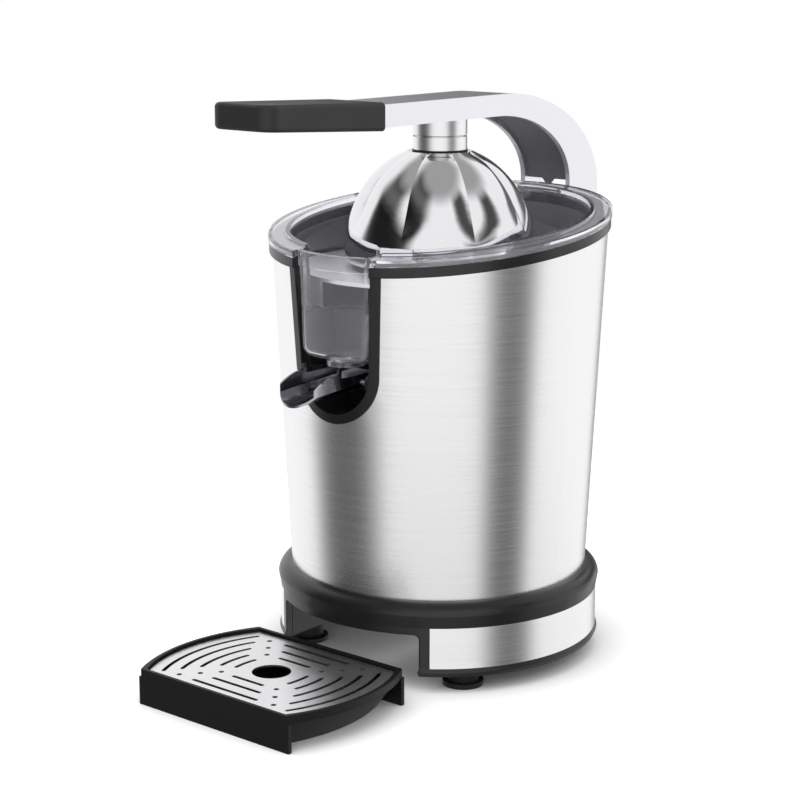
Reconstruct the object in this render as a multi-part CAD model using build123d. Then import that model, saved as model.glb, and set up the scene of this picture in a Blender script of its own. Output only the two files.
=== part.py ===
from build123d import *
import math
import os

# Electric lever citrus press: steel body, clear juice collector, press lever and pull-out drip tray.
# Millimetres, +Z up, front towards -Y. Pieces are drawn about the axis of the reaming cone, and written out
# with the origin on the counter, under the middle of the whole footprint.

# Fits that all pieces share
overrun = 4.0
seat_gap = 0.1
slip_gap = 0.3
shaft_gap = 0.05

# Steel shell, a slightly flared tube with a rim that falls towards the front
base_height = 50.2
rim_height = 239.1
rim_slant = 6.84
shell_bottom_radius = 85.0
shell_top_radius = 94.2
shell_wall = 1.0

# Black rim and the U-shaped front frame, one moulding
trim_height = 5.8
trim_overhang = 1.8
trim_land = 6.6
trim_outer_radius = shell_top_radius + trim_overhang
trim_inner_radius = shell_top_radius - trim_land
frame_high_half_width = 32.8
frame_low_half_width = 29.4
frame_arc_height = 175.2
frame_band = 5.2
frame_lap = 2.0
frame_proud = 1.2
frame_depth = 5.0

# Recess behind the front frame, where the spout sits
apron_inset = 1.2
apron_radius = shell_top_radius - apron_inset
recess_wall = 2.0
recess_depth = 35.0
recess_back = apron_radius - recess_depth
recess_top = 202.5

# Bowl seat: the deck over the motor, with a wall round the collector and a boss round the shaft
deck_bottom = 196.0
deck_thickness = 3.0
seat_wall = 1.5
seat_inset = 0.4
seat_shell_gap = 2.0
boss_radius = 13.0
boss_top = 214.0

# Clear juice collector: bowl, flange on the rim, chute behind the front frame
collector_wall = 2.0
bowl_gap = 0.8
bowl_bottom = 204.0
flange_overhang = 0.5
flange_radius = trim_outer_radius + flange_overhang
flange_height = 9.5
flange_thickness = 2.0
flange_lip = 2.4
bead_width = 2.4
bead_rise = 1.1
hub_tube_radius = 17.0
hub_tube_top = 217.0
apron_gap = 0.9
apron_band_proud = 0.7
apron_band_height = 8.0
chute_bottom = 180.0
chute_depth = 31.0
chute_back = apron_radius - chute_depth
chute_corner = 7.0
apron_corner = 4.6
outlet_radius = 9.0
outlet_wall = 1.6
outlet_length = 3.0
outlet_inset = 13.0
outlet_forward = apron_radius - outlet_inset

# Steel strainer that stands in the bowl
strainer_gap = 6.4
strainer_top = 222.0
strainer_sheet = 1.0
strainer_hole_radius = 19.5
strainer_slots = 36
strainer_slot_width = 1.8
strainer_slot_inner = 25.0
strainer_slot_outer = 48.0
strainer_window_half_width = 18.0

# Reaming cone
cone_bottom = 226.0
cone_radius = 36.0
cone_edge = 2.5
cone_tip_radius = 4.0
cone_height = 46.0
cone_wall = 2.6
cone_waist_share = 0.66
cone_waist_height_share = 0.5
cone_ribs = 10
cone_rib_width = 2.4
cone_rib_rise = 2.6
cone_hub_radius = 9.0
cone_hub_top = 262.0

# Drive shaft, its bush and its seal
shaft_radius = 5.0
shaft_bottom = 158.0
shaft_flat = 1.0
shaft_flat_bottom = 222.0
bush_wall = 3.0
bush_bottom = 199.0
bush_top = 210.5
seal_radius = 10.0
seal_height = 3.5

# Press-to-start button under the shaft, its return spring and the start switch
press_travel = 2.0
button_radius = 8.0
button_height = 3.5
button_stem_radius = 3.0
button_stem_length = 16.0
spring_coil_radius = 6.0
spring_wire_radius = 0.5
spring_turns = 5
spring_pocket_floor = 142.0
switch_width = 20.0
switch_depth = 6.5
switch_height = 10.0
switch_gap = 0.5

# Gear train, two stages of spur gears
pressure_angle = 20.0
addendum_share = 0.8
dedendum_share = 1.2
tooth_play = 0.3
pinion_teeth = 14
wheel_teeth = 56
drive_module = 1.25
motor_module = 1.0
output_gear_bottom = 168.0
output_gear_face = 8.0
idler_pinion_top = 178.5
idler_wheel_bottom = 156.0
idler_wheel_face = 6.0
idler_axle_radius = 3.0
motor_pinion_bottom = 155.0
motor_pinion_top = 163.5
motor_bearing_angle = 80.0
gear_hub_radius = 11.0
gear_hub_rise = 3.0

# Gearbox case, hung from the deck on four pillars
case_wall = 2.5
case_floor = 150.0
case_floor_thickness = 3.0
case_room = 3.0
lid_bottom = 180.0
lid_thickness = 3.0
pillar_radius = 5.0
pillar_reach = 33.0
case_screw_radius = 1.7
case_screw_head = 3.2
case_screw_head_height = 2.0

# Motor, its axis beside the main axis
can_radius = 31.0
can_wall = 1.5
can_bottom = 82.0
can_roof = 2.0
stator_inner_radius = 20.0
stator_bottom = 98.0
stator_height = 36.0
stator_slots = 12
stator_slot_width = 3.0
stator_slot_depth = 5.0
rotor_radius = 19.5
rotor_slots = 12
rotor_slot_width = 1.6
rotor_slot_depth = 2.2
motor_shaft_radius = 2.5
motor_shaft_bottom = 64.0
motor_bush_radius = 5.0
motor_bush_length = 6.0
end_cap_height = 4.0
end_cap_boss_radius = 9.0
fan_radius = 26.0
fan_bottom = 66.0
fan_height = 8.0
fan_plate = 1.6
fan_blades = 9
fan_blade_width = 1.4
fan_hub_radius = 7.0
motor_screw_reach = 14.0

# Black base with a steel band, and the bay that the drip tray is stored in
skirt_bulge_radius = 92.9
skirt_bulge_height = 44.0
skirt_wall_radius = 91.6
skirt_wall = 4.0
skirt_shelf = 4.0
skirt_shelf_radius = 56.0
spigot_rise = 6.0
spigot_wall = 3.0
band_bottom = 13.9
band_top = 36.9
band_sheet = 0.8
band_gap_half_width = 54.2
lip_radius = 92.7
lip_bottom = 9.3
notch_half_width = 49.4
notch_top = 33.0
notch_corner = 3.0
bay_wall = 2.0
bay_back = 40.0
plate_thickness = 2.2
plate_vent_width = 3.0
plate_vent_length = 22.0
plate_vents = 5
plate_vent_pitch = 8.0
plate_vent_back = 58.0
foot_across = 58.0
foot_along = 49.2
foot_radius = 11.4
foot_pad_height = 2.8
foot_stem_radius = 8.6
base_post_radius = 5.0
base_screw_radius = 1.7
base_screw_head = 3.4
base_screw_head_height = 1.6
base_screw_length = 16.0
base_screw_places = ((63.0, 22.0), (42.0, 60.0))

# Cord inlet gland at the back of the base
gland_height = 25.0
gland_radius = 6.0
gland_flange_radius = 9.0
gland_flange = 2.6
gland_bore_radius = 3.6
gland_length = 12.0

# Press lever: a cast arm that is a channel over its arch, hinged behind the rim
hinge_reach = 19.5
hinge_back = shell_top_radius + hinge_reach
arm_half_width = 18.0
arm_top = 316.4
arm_underside = 304.2
arm_front = 71.0
arm_cheek = 3.0
arm_spine = 3.5
arch_heel = 14.3
arch_outer_depth = 93.0
arch_outer_centre_back = hinge_back + arch_heel - arch_outer_depth
arch_outer_centre_height = 257.0
arch_inner_step = 5.0
arch_inner_centre_back = arch_outer_centre_back - arch_inner_step
arch_inner_centre_height = 261.6
arch_leg_depth = 28.4
arch_inner_depth = arch_outer_depth + arch_inner_step - arch_leg_depth
spine_end = 262.0
liner_inset = 2.6
liner_thickness = 2.0
liner_step = 11.0
liner_start = arch_outer_centre_back + liner_step
liner_tip_half_width = 4.0
liner_tip_length = 4.5

# Lever hinge
hinge_height = 238.0
hinge_end_radius = 14.2
pin_radius = 4.0
pin_head_radius = 7.0
pin_head = 1.6
hinge_bush_wall = 2.0
lug_radius = 11.0
bracket_pad_half_width = 23.6
bracket_pad_bottom = 206.0
bracket_pad_top = 246.0
bracket_pad_thickness = 3.0
bracket_web_bottom = 222.0
backing_thickness = 2.0
hinge_screw_radius = 2.0
hinge_screw_head = 4.0
hinge_screw_head_height = 2.4
hinge_screw_across = 19.3
hinge_screw_low = 211.0
hinge_screw_high = 238.0

# Grip on the arm's tang
grip_half_width = 20.8
grip_front = 160.0
grip_rear_top = 317.7
grip_rear_bottom = 302.6
grip_front_top = 321.2
grip_front_bottom = 307.8
grip_corner = 9.0
grip_edge = 2.4
tang_half_width = 11.0
tang_bottom = 308.4
tang_top = 313.4
tang_length = 62.0
grip_screw_radius = 1.8
grip_screw_head = 3.4
grip_screw_head_height = 1.8
grip_screw_places = (92.0, 122.0)

# Neck between the arm and the dome
neck_radius = 15.2
neck_groove_height = 294.4
neck_groove = 1.0
neck_groove_depth = 1.2
neck_ring_bottom = 286.2
neck_ring_height = 1.0
neck_ring_radius = 15.5
neck_bolt_radius = 4.0
neck_bolt_head = 7.0
neck_bolt_head_height = 4.0

# Press dome, round at the edge and lobed towards the neck
dome_bottom = 231.2
dome_radius = 53.4
dome_height = 58.5
dome_inner_radius = 49.5
dome_edge = 224.2
dome_curl_radius = 3.4
dome_lobes = 8
dome_turn = -6.8
dome_crease_share = 0.065
dome_fade_share = 0.12
dome_full_share = 0.45
dome_collar_share = 0.86
dome_section_shares = (0.0, 0.11, 0.22, 0.36, 0.5, 0.63, 0.75, 0.85)
dome_ring_width = 2.0
dome_ring_height = 4.0
dome_ring_proud = 1.2

# Spout: a steel trough that tilts up on two trunnions to stop the drip
spout_half_width = 13.4
spout_belly = 18.0
spout_sheet = 1.2
spout_slope = 3.5
spout_floor_front = 160.2
spout_reach = 31.0
spout_lip = apron_radius + spout_reach
spout_lip_height = 166.0
spout_shoulder_reach = 7.5
spout_shoulder = apron_radius + spout_shoulder_reach
spout_shoulder_height = 176.0
spout_ear_reach = 5.2
spout_ear_back = apron_radius + spout_ear_reach
spout_ear_height = 179.0
spout_rim_height = 173.6
spout_inset = 23.0
spout_back = apron_radius - spout_inset
spout_nose_radius = 17.0
spout_nose_shares = (0.3, 0.52)
trunnion_radius = 2.5
trunnion_reach = 21.5
trunnion_inset = 14.0
trunnion_forward = apron_radius - trunnion_inset
trunnion_height = 168.4
spout_lug_inner = 17.0
spout_lug_radius = 5.5

# Drip tray: a pan with bulging sides between two straight end walls, and a steel grid laid in it
tray_half_length = 53.2
tray_half_depth = 45.3
tray_forward = 141.0
tray_top = 20.1
tray_bulge = 12.0
tray_rim_drop = 4.4
tray_foot_inset = 14.0
tray_shoulder_inset = 1.6
tray_wall = 2.2
tray_floor = 1.8
tray_end_wall = 2.4
tray_end_proud = 1.6
tray_ledge_drop = 2.6
tray_ledge = 2.4
grid_sheet = 1.0
grid_gap = 0.5
grid_slot_width = 2.4
grid_hole_radius = 10.6
grid_dot_radius = 1.5
grid_straight_first = 18.0
grid_straight_pitch = 8.7
grid_straight_first_half = 11.6
grid_straight_grow = 6.2
grid_arc_first = 20.0
grid_arc_pitch = 8.5
grid_arc_halves = (7.0, 9.9, 18.3, 27.3, 36.0)
grid_dot_first = (20.3, 17.5)
grid_dot_step = (7.2, 8.6)

reach = rim_height
shell_rise_share = (shell_top_radius - shell_bottom_radius) / (rim_height - base_height)


def shell_radius(height):
    """Outer radius of the steel shell at a height."""
    return shell_bottom_radius + shell_rise_share * (height - base_height)


# The bowl's seat clears both the rim's bore and the shell beside the deck
seat_room_radius = shell_radius(deck_bottom) - shell_wall - seat_shell_gap - seat_wall
seat_wall_radius = min(trim_inner_radius - seat_inset, seat_room_radius)
bowl_radius = seat_wall_radius - bowl_gap
strainer_radius = bowl_radius - strainer_gap


def cylinder(radius, bottom, top, place=(0, 0)):
    """An upright cylinder between two heights."""
    return Pos(place[0], place[1], (bottom + top) / 2) * Cylinder(radius, top - bottom)


def tube(outer, inner, bottom, top, place=(0, 0)):
    """An upright tube between two heights."""
    cut = cylinder(inner, bottom - overrun, top + overrun, place)
    return cylinder(outer, bottom, top, place) - cut


def block(low, high):
    """A box between two corners."""
    size = [b - a for a, b in zip(low, high)]
    centre = [(a + b) / 2 for a, b in zip(low, high)]
    return Pos(*centre) * Box(*size)


def across(radius, left, right, back, height):
    """A cylinder along X between two sides."""
    place = Pos((left + right) / 2, back, height) * Rot(0, 90, 0)
    return place * Cylinder(radius, right - left)


def along(radius, front, back, side, height):
    """A cylinder along Y between front and back."""
    place = Pos(side, (front + back) / 2, height) * Rot(90, 0, 0)
    return place * Cylinder(radius, back - front)


def turned(edges):
    """A solid turned about the main axis from edges drawn in radius and height."""
    return revolve(Plane.XZ * make_face(edges), Axis.Z)


def outline(points):
    """The edges of a closed outline through points."""
    return Polyline(*points, close=True).edges()


def side_prism(face, half_width):
    """A solid with a side view drawn in Y and Z, the same to both sides."""
    return extrude(Plane.YZ * face, amount=half_width, both=True)


def slanted(height):
    """The plane of the rim, moved up by a height."""
    tilt = math.radians(rim_slant)
    normal = (0, -math.sin(tilt), math.cos(tilt))
    return Plane(origin=(0, 0, rim_height + height), x_dir=(1, 0, 0), z_dir=normal)


def below_rim(height):
    """Everything below the slanted rim plane moved up by a height."""
    return slanted(height) * Pos(0, 0, -reach) * Box(2 * reach, 2 * reach, 2 * reach)


def rim_tube(outer, inner, low, high):
    """A tube whose ends are parallel to the slanted rim."""
    ring = tube(outer, inner, rim_height - reach / 2, rim_height + reach / 2)
    return (ring & below_rim(high)) - below_rim(low)


def front_u(inset):
    """A prism from the axis to the front with the U outline of the frame, made smaller by an inset."""
    top = rim_height + reach / 4
    low = frame_low_half_width - inset
    slope = (frame_high_half_width - frame_low_half_width) / (rim_height - frame_arc_height)
    high = low + slope * (top - frame_arc_height)
    right = Line((low, frame_arc_height), (high, top))
    roof = Line((high, top), (-high, top))
    left = Line((-high, top), (-low, frame_arc_height))
    bottom = ThreePointArc((-low, frame_arc_height), (0, frame_arc_height - low), (low, frame_arc_height))
    return extrude(Plane.XZ * make_face([right, roof, left, bottom]), amount=reach)


def shell_layer(inner_offset, outer_offset, bottom):
    """A layer that follows the flare of the shell, from a height to above the rim."""
    top = rim_height + reach / 4
    points = [
        (shell_radius(bottom) + inner_offset, bottom),
        (shell_radius(bottom) + outer_offset, bottom),
        (shell_radius(top) + outer_offset, top),
        (shell_radius(top) + inner_offset, top),
    ]
    return turned(outline(points))


def shell_core(offset):
    """All the room inside the flare of the shell."""
    top = rim_height + reach / 4
    points = [
        (0, 0),
        (shell_radius(0) + offset, 0),
        (shell_radius(top) + offset, top),
        (0, top),
    ]
    return turned(outline(points))


def make_housing_shell():
    shell = shell_layer(-shell_wall, 0, base_height) & below_rim(0)
    shell -= front_u(frame_lap)
    for side, height, wall in hinge_screw_places():
        shell -= along(hinge_screw_radius + seat_gap, 0, reach, side, height)
    return shell


def make_rim_trim():
    trim = rim_tube(trim_outer_radius, trim_inner_radius, 0, trim_height) - front_u(frame_band)
    frame_foot = frame_arc_height - frame_low_half_width - overrun
    face = front_u(0) & shell_layer(seat_gap, frame_proud, frame_foot)
    sleeve = front_u(frame_lap + seat_gap) & shell_layer(-frame_depth, frame_proud, frame_foot)
    return trim + ((face + sleeve - front_u(frame_band)) & below_rim(trim_height))


def make_spout_recess():
    tub = front_u(frame_band - recess_wall)
    tub -= front_u(frame_band) & block((-reach, -reach, 0), (reach, -recess_back - recess_wall, reach * 2))
    tub &= block((-reach, -reach, 0), (reach, -recess_back, recess_top))
    for side in (-1, 1):
        ends = sorted((side * spout_lug_inner, side * (frame_low_half_width - frame_band)))
        tub += across(spout_lug_radius, ends[0], ends[1], -trunnion_forward, trunnion_height)
    tub &= shell_core(-frame_depth - seat_gap)
    bore_end = trunnion_reach + seat_gap
    return tub - across(trunnion_radius + shaft_gap, -bore_end, bore_end, -trunnion_forward, trunnion_height)


def make_bowl_seat():
    deck_top = deck_bottom + deck_thickness
    deck_radius = shell_radius(deck_bottom) - shell_wall - seat_gap
    seat = cylinder(deck_radius, deck_bottom, deck_top)
    wall = tube(seat_wall_radius + seat_wall, seat_wall_radius, deck_top, rim_height + reach / 4)
    seat += wall & below_rim(0)
    seat += cylinder(boss_radius, deck_bottom, boss_top)
    in_front = block((-reach, -reach, 0), (reach, -recess_back + seat_gap, 2 * reach))
    seat -= front_u(frame_lap - seat_gap) & in_front
    seat -= cylinder(shaft_radius + bush_wall, deck_bottom - overrun, boss_top + overrun)
    seat -= cylinder(seal_radius, bush_top, boss_top + overrun)
    for place in pillar_places():
        seat -= cylinder(case_screw_radius + seat_gap, deck_bottom - overrun, deck_top + overrun, place)
    return seat


def chute_body(inset, bottom):
    """The chute behind the front frame, made smaller on every side by an inset."""
    half = frame_high_half_width
    depth = apron_radius - chute_back - 2 * inset
    plan = Pos(0, -(apron_radius + chute_back) / 2) * Rectangle(2 * half, depth)
    plan &= Circle(apron_radius - inset)
    body = Pos(0, 0, bottom) * extrude(plan, amount=reach)
    body &= front_u(frame_band + apron_gap + inset)
    body = fillet(body.edges().filter_by(Axis.Y).group_by(Axis.Z)[0], chute_corner - inset)
    front = [edge for edge in body.edges() if edge.length > chute_depth and edge.center().Y < -outlet_forward
             and abs(edge.center().X) > frame_low_half_width / 2]
    return fillet(front, apron_corner - inset)


def make_clear_collector():
    bowl_floor = bowl_bottom + collector_wall
    lip_inner = flange_radius - flange_lip
    bowl_inner = bowl_radius - collector_wall
    flange = rim_tube(flange_radius, bowl_inner, flange_height - flange_thickness, flange_height)
    flange += rim_tube(flange_radius, lip_inner, trim_height, flange_height)
    flange += rim_tube(bowl_inner + bead_width, bowl_inner, trim_height, flange_height + bead_rise)
    flange -= front_u(frame_band + apron_gap)
    bowl = tube(bowl_radius, 0, bowl_bottom, rim_height + reach / 4) & below_rim(flange_height)
    chute = chute_body(0, chute_bottom)
    band_low = flange_height - apron_band_height
    inner = apron_radius - collector_wall
    band = tube(apron_radius + apron_band_proud, inner, chute_bottom, reach + reach / 4)
    band &= front_u(frame_band + apron_gap) & chute_body(-apron_band_proud, chute_bottom)
    band -= below_rim(band_low)
    body = flange + bowl + ((chute + band) & below_rim(flange_height))
    hollow = cylinder(bowl_inner, bowl_floor, rim_height + reach / 4)
    hollow += chute_body(collector_wall, chute_bottom + collector_wall)
    body -= hollow
    body += cylinder(hub_tube_radius, bowl_bottom, hub_tube_top)
    body -= cylinder(hub_tube_radius - collector_wall, bowl_bottom - overrun, hub_tube_top + overrun)
    spot = (0, -outlet_forward)
    body += cylinder(outlet_radius + outlet_wall, chute_bottom - outlet_length, chute_bottom, spot)
    floor_top = chute_bottom + collector_wall
    return body - cylinder(outlet_radius, chute_bottom - outlet_length - overrun, floor_top + overrun, spot)


def make_strainer():
    floor = bowl_bottom + collector_wall
    sheet_bottom = strainer_top - strainer_sheet
    strainer = tube(strainer_radius, strainer_hole_radius, sheet_bottom, strainer_top)
    strainer += tube(strainer_radius, strainer_radius - strainer_sheet, floor, strainer_top)
    slot_length = strainer_slot_outer - strainer_slot_inner
    slot = extrude(SlotOverall(slot_length, strainer_slot_width), amount=3 * strainer_sheet)
    middle = (strainer_slot_outer + strainer_slot_inner) / 2
    cuts = [
        Rot(0, 0, 360 * turn / strainer_slots) * Pos(middle, 0, strainer_top - 2 * strainer_sheet) * slot
        for turn in range(strainer_slots)
    ]
    strainer -= cuts
    half = strainer_window_half_width
    return strainer - block((-half, -reach, floor - overrun), (half, 0, sheet_bottom - strainer_sheet))


def make_reamer_cone():
    edge_top = cone_bottom + cone_edge
    tip = cone_bottom + cone_height
    waist = (cone_radius * cone_waist_share, cone_bottom + cone_height * cone_waist_height_share)

    def profile(shrink):
        """Half of the cone's outline, with its curved flank moved inwards."""
        foot = (cone_radius - shrink, cone_bottom)
        edge = (cone_radius - shrink, edge_top)
        top = (cone_tip_radius, tip - shrink)
        flank = ThreePointArc(edge, (waist[0] - shrink, waist[1]), top)
        return [
            Line((0, cone_bottom), foot),
            Line(foot, edge),
            flank,
            Line(top, (0, tip - shrink)),
            Line((0, tip - shrink), (0, cone_bottom)),
        ]

    cone = turned(profile(0)) - turned(profile(cone_wall))
    cone += cylinder(cone_hub_radius, cone_bottom, tip) & turned(profile(0))
    rib = extrude(Plane.XZ * make_face(profile(-cone_rib_rise)), amount=cone_rib_width / 2, both=True)
    rib &= block((0, -reach, edge_top), (cone_radius, reach, tip))
    rib -= turned(profile(cone_wall / 2))
    cone += [Rot(0, 0, 360 * turn / cone_ribs) * rib for turn in range(cone_ribs)]
    return cone - drive_shaft_solid(seat_gap)


def drive_shaft_solid(room):
    """The drive shaft with its driving flat, made larger by some room for a bore."""
    shaft = cylinder(shaft_radius + room, shaft_bottom, cone_hub_top + room)
    flat_side = shaft_radius - shaft_flat + room
    return shaft - block((flat_side, -reach, shaft_flat_bottom), (reach, reach, cone_hub_top + reach))


def make_shaft_bush():
    return tube(shaft_radius + bush_wall, shaft_radius + shaft_gap, bush_bottom, bush_top)


def make_shaft_seal():
    return tube(seal_radius, shaft_radius + shaft_gap, bush_top, bush_top + seal_height)


def make_thrust_button():
    low = shaft_bottom - button_height
    stem = cylinder(button_stem_radius, low - button_stem_length, low)
    return cylinder(button_radius, low, shaft_bottom) + stem


def make_return_spring():
    top = shaft_bottom - button_height - spring_wire_radius
    bottom = spring_pocket_floor + spring_wire_radius
    height = top - bottom
    path = Pos(0, 0, bottom) * Helix(height / spring_turns, height, spring_coil_radius)
    section = Plane(path @ 0, z_dir=path % 0) * Circle(spring_wire_radius)
    return sweep(section, path, is_frenet=True)


def make_start_switch():
    stem_end = shaft_bottom - button_height - button_stem_length
    top = stem_end - press_travel - switch_gap
    floor = top - switch_height
    half = switch_depth / 2
    switch = block((-switch_width / 2, -half, floor), (switch_width / 2, half, top))
    for side in (-switch_width / 3, 0, switch_width / 3):
        tab_low = (side - switch_gap, -half / 2, floor - switch_depth)
        switch += block(tab_low, (side + switch_gap, half / 2, floor))
    ear = switch_width / 2 - button_stem_radius - 2 * switch_gap
    for left in (-switch_width / 2, switch_width / 2 - ear / 2):
        switch += block((left, -half, top), (left + ear / 2, half, spring_pocket_floor - case_wall))
    return switch


def gear(teeth, module, bottom, top, phase, place=(0, 0)):
    """A spur gear with involute teeth; a tooth points along the phase angle."""
    pitch_radius = teeth * module / 2
    base_radius = pitch_radius * math.cos(math.radians(pressure_angle))
    tip = pitch_radius + addendum_share * module
    root = pitch_radius - dedendum_share * module

    def involute(radius):
        """The angle that the flank has turned at a radius."""
        slope = math.sqrt(max((radius / base_radius) ** 2 - 1, 0))
        return slope - math.atan(slope)

    half_tooth = math.pi / (2 * teeth) - tooth_play / (2 * pitch_radius) + involute(pitch_radius)
    flank = [root + (tip - root) * step / 4 for step in range(5)]
    points = []
    for tooth in range(teeth):
        middle = math.radians(phase) + 2 * math.pi * tooth / teeth
        rising = [(radius, middle - half_tooth + involute(radius)) for radius in flank]
        falling = [(radius, middle + half_tooth - involute(radius)) for radius in reversed(flank)]
        points += [(r * math.cos(a), r * math.sin(a)) for r, a in rising + falling]
    blank = extrude(make_face(outline(points)), amount=top - bottom)
    return Pos(place[0], place[1], bottom) * blank


def idler_place():
    """Where the idler's axle stands, straight behind the drive shaft."""
    return (0, drive_module * (pinion_teeth + wheel_teeth) / 2)


def motor_place():
    """Where the motor's shaft stands, beside the idler."""
    apart = motor_module * (pinion_teeth + wheel_teeth) / 2
    angle = math.radians(motor_bearing_angle)
    return (-apart * math.sin(angle), idler_place()[1] - apart * math.cos(angle))


def make_output_gear():
    top = output_gear_bottom + output_gear_face
    wheel = gear(wheel_teeth, drive_module, output_gear_bottom, top, 90)
    wheel += cylinder(gear_hub_radius, output_gear_bottom, top + gear_hub_rise)
    return wheel - cylinder(shaft_radius, output_gear_bottom - overrun, top + reach)


def make_idler_gear():
    place = idler_place()
    to_motor = 270 - motor_bearing_angle
    wheel_top = idler_wheel_bottom + idler_wheel_face
    cluster = gear(wheel_teeth, motor_module, idler_wheel_bottom, wheel_top, to_motor, place)
    cluster += gear(pinion_teeth, drive_module, wheel_top, idler_pinion_top, 270 + 180 / pinion_teeth, place)
    return cluster - cylinder(idler_axle_radius + shaft_gap, case_floor, lid_bottom, place)


def make_idler_axle():
    return cylinder(idler_axle_radius, case_floor, lid_bottom, idler_place())


def make_motor_pinion():
    place = motor_place()
    to_idler = 90 - motor_bearing_angle
    turn = to_idler + 180 / pinion_teeth
    pinion = gear(pinion_teeth, motor_module, motor_pinion_bottom, motor_pinion_top, turn, place)
    bore_low, bore_high = motor_pinion_bottom - overrun, motor_pinion_top + overrun
    return pinion - cylinder(motor_shaft_radius, bore_low, bore_high, place)


def case_plan(inset):
    """The plan of the gearbox: three circles round the three gears."""
    output = wheel_teeth * drive_module / 2 + drive_module + case_room + case_wall
    idler = wheel_teeth * motor_module / 2 + motor_module + case_room + case_wall
    motor = pinion_teeth * motor_module / 2 + motor_module + case_room + case_wall
    plan = Circle(output - inset) + Pos(*idler_place()) * Circle(idler - inset)
    return plan + Pos(*motor_place()) * Circle(motor - inset)


def pillar_places():
    """The four pillars that hang the gearbox from the deck."""
    corner = pillar_reach / math.sqrt(2)
    back = idler_place()[1]
    return [(-corner, -corner), (corner, -corner), (-corner, back), (corner, back)]


def make_gearbox_base():
    floor_top = case_floor + case_floor_thickness
    case = Pos(0, 0, case_floor) * extrude(case_plan(0), amount=lid_bottom - case_floor)
    case += cylinder(can_radius, case_floor, floor_top, motor_place())
    case -= Pos(0, 0, floor_top) * extrude(case_plan(case_wall), amount=reach)
    pocket = button_radius + slip_gap
    case += cylinder(pocket + case_wall, spring_pocket_floor - case_wall, floor_top)
    case -= cylinder(pocket, spring_pocket_floor, floor_top + overrun)
    case -= cylinder(button_stem_radius + slip_gap, spring_pocket_floor - case_wall - overrun, floor_top)
    case -= cylinder(idler_axle_radius, case_floor - overrun, floor_top + overrun, idler_place())
    case -= cylinder(motor_bush_radius, case_floor - overrun, floor_top + overrun, motor_place())
    for place in motor_screw_places():
        case -= cylinder(case_screw_radius, case_floor - overrun, floor_top + overrun, place)
    return case


def make_gearbox_lid():
    lid_top = lid_bottom + lid_thickness
    lid = Pos(0, 0, lid_bottom) * extrude(case_plan(0), amount=lid_thickness)
    lid += [cylinder(pillar_radius, lid_bottom, deck_bottom, place) for place in pillar_places()]
    lid -= cylinder(gear_hub_radius + slip_gap, lid_bottom - overrun, lid_top + overrun)
    lid -= [cylinder(case_screw_radius, lid_top, deck_bottom + overrun, place) for place in pillar_places()]
    return lid


def make_gearbox_screws():
    seat = deck_bottom + deck_thickness
    shank_bottom = lid_bottom + lid_thickness + seat_gap
    return Part() + [
        cylinder(case_screw_radius, shank_bottom, seat, place)
        + cylinder(case_screw_head, seat, seat + case_screw_head_height, place)
        for place in pillar_places()
    ]


def motor_screw_places():
    """The two screws that hold the motor to the gearbox, either side of its bush."""
    x, y = motor_place()
    return [(x - motor_screw_reach, y), (x + motor_screw_reach, y)]


def make_motor_can():
    place = motor_place()
    can = tube(can_radius, can_radius - can_wall, can_bottom, case_floor, place)
    can += tube(can_radius, motor_bush_radius, case_floor - can_roof, case_floor, place)
    for spot in motor_screw_places():
        can -= cylinder(case_screw_radius, case_floor - can_roof - overrun, case_floor + overrun, spot)
    return can


def make_motor_stator():
    place = motor_place()
    outer = can_radius - can_wall - seat_gap
    top = stator_bottom + stator_height
    stator = tube(outer, stator_inner_radius, stator_bottom, top)
    slot = block(
        (0, -stator_slot_width / 2, stator_bottom - overrun),
        (stator_inner_radius + stator_slot_depth, stator_slot_width / 2, top + overrun),
    )
    stator -= [Rot(0, 0, 360 * turn / stator_slots) * slot for turn in range(stator_slots)]
    return Pos(place[0], place[1], 0) * stator


def make_rotor_core():
    place = motor_place()
    core = tube(rotor_radius, motor_shaft_radius, stator_bottom, stator_bottom + stator_height)
    slot = block(
        (rotor_radius - rotor_slot_depth, -rotor_slot_width / 2, stator_bottom - overrun),
        (rotor_radius + overrun, rotor_slot_width / 2, stator_bottom + stator_height + overrun),
    )
    core -= [Rot(0, 0, 360 * turn / rotor_slots) * slot for turn in range(rotor_slots)]
    return Pos(place[0], place[1], 0) * core


def make_motor_shaft():
    return cylinder(motor_shaft_radius, motor_shaft_bottom, motor_pinion_top, motor_place())


def make_motor_end_cap():
    place = motor_place()
    cap = cylinder(can_radius, can_bottom - end_cap_height, can_bottom, place)
    cap += cylinder(end_cap_boss_radius, can_bottom, can_bottom + motor_bush_length, place)
    bore_bottom = can_bottom - end_cap_height - overrun
    return cap - cylinder(motor_bush_radius, bore_bottom, can_bottom + motor_bush_length + overrun, place)


def make_motor_bushes():
    place = motor_place()
    inner = motor_shaft_radius + shaft_gap
    floor_top = case_floor + case_floor_thickness
    upper = tube(motor_bush_radius, inner, case_floor - can_roof, floor_top - seat_gap, place)
    lower = tube(motor_bush_radius, inner, can_bottom - end_cap_height, can_bottom + motor_bush_length, place)
    return Part() + [upper, lower]


def make_motor_screws():
    floor_top = case_floor + case_floor_thickness
    head_top = case_floor - can_roof
    return Part() + [
        cylinder(case_screw_radius, head_top, floor_top, place)
        + cylinder(case_screw_head, head_top - case_screw_head_height, head_top, place)
        for place in motor_screw_places()
    ]


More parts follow.
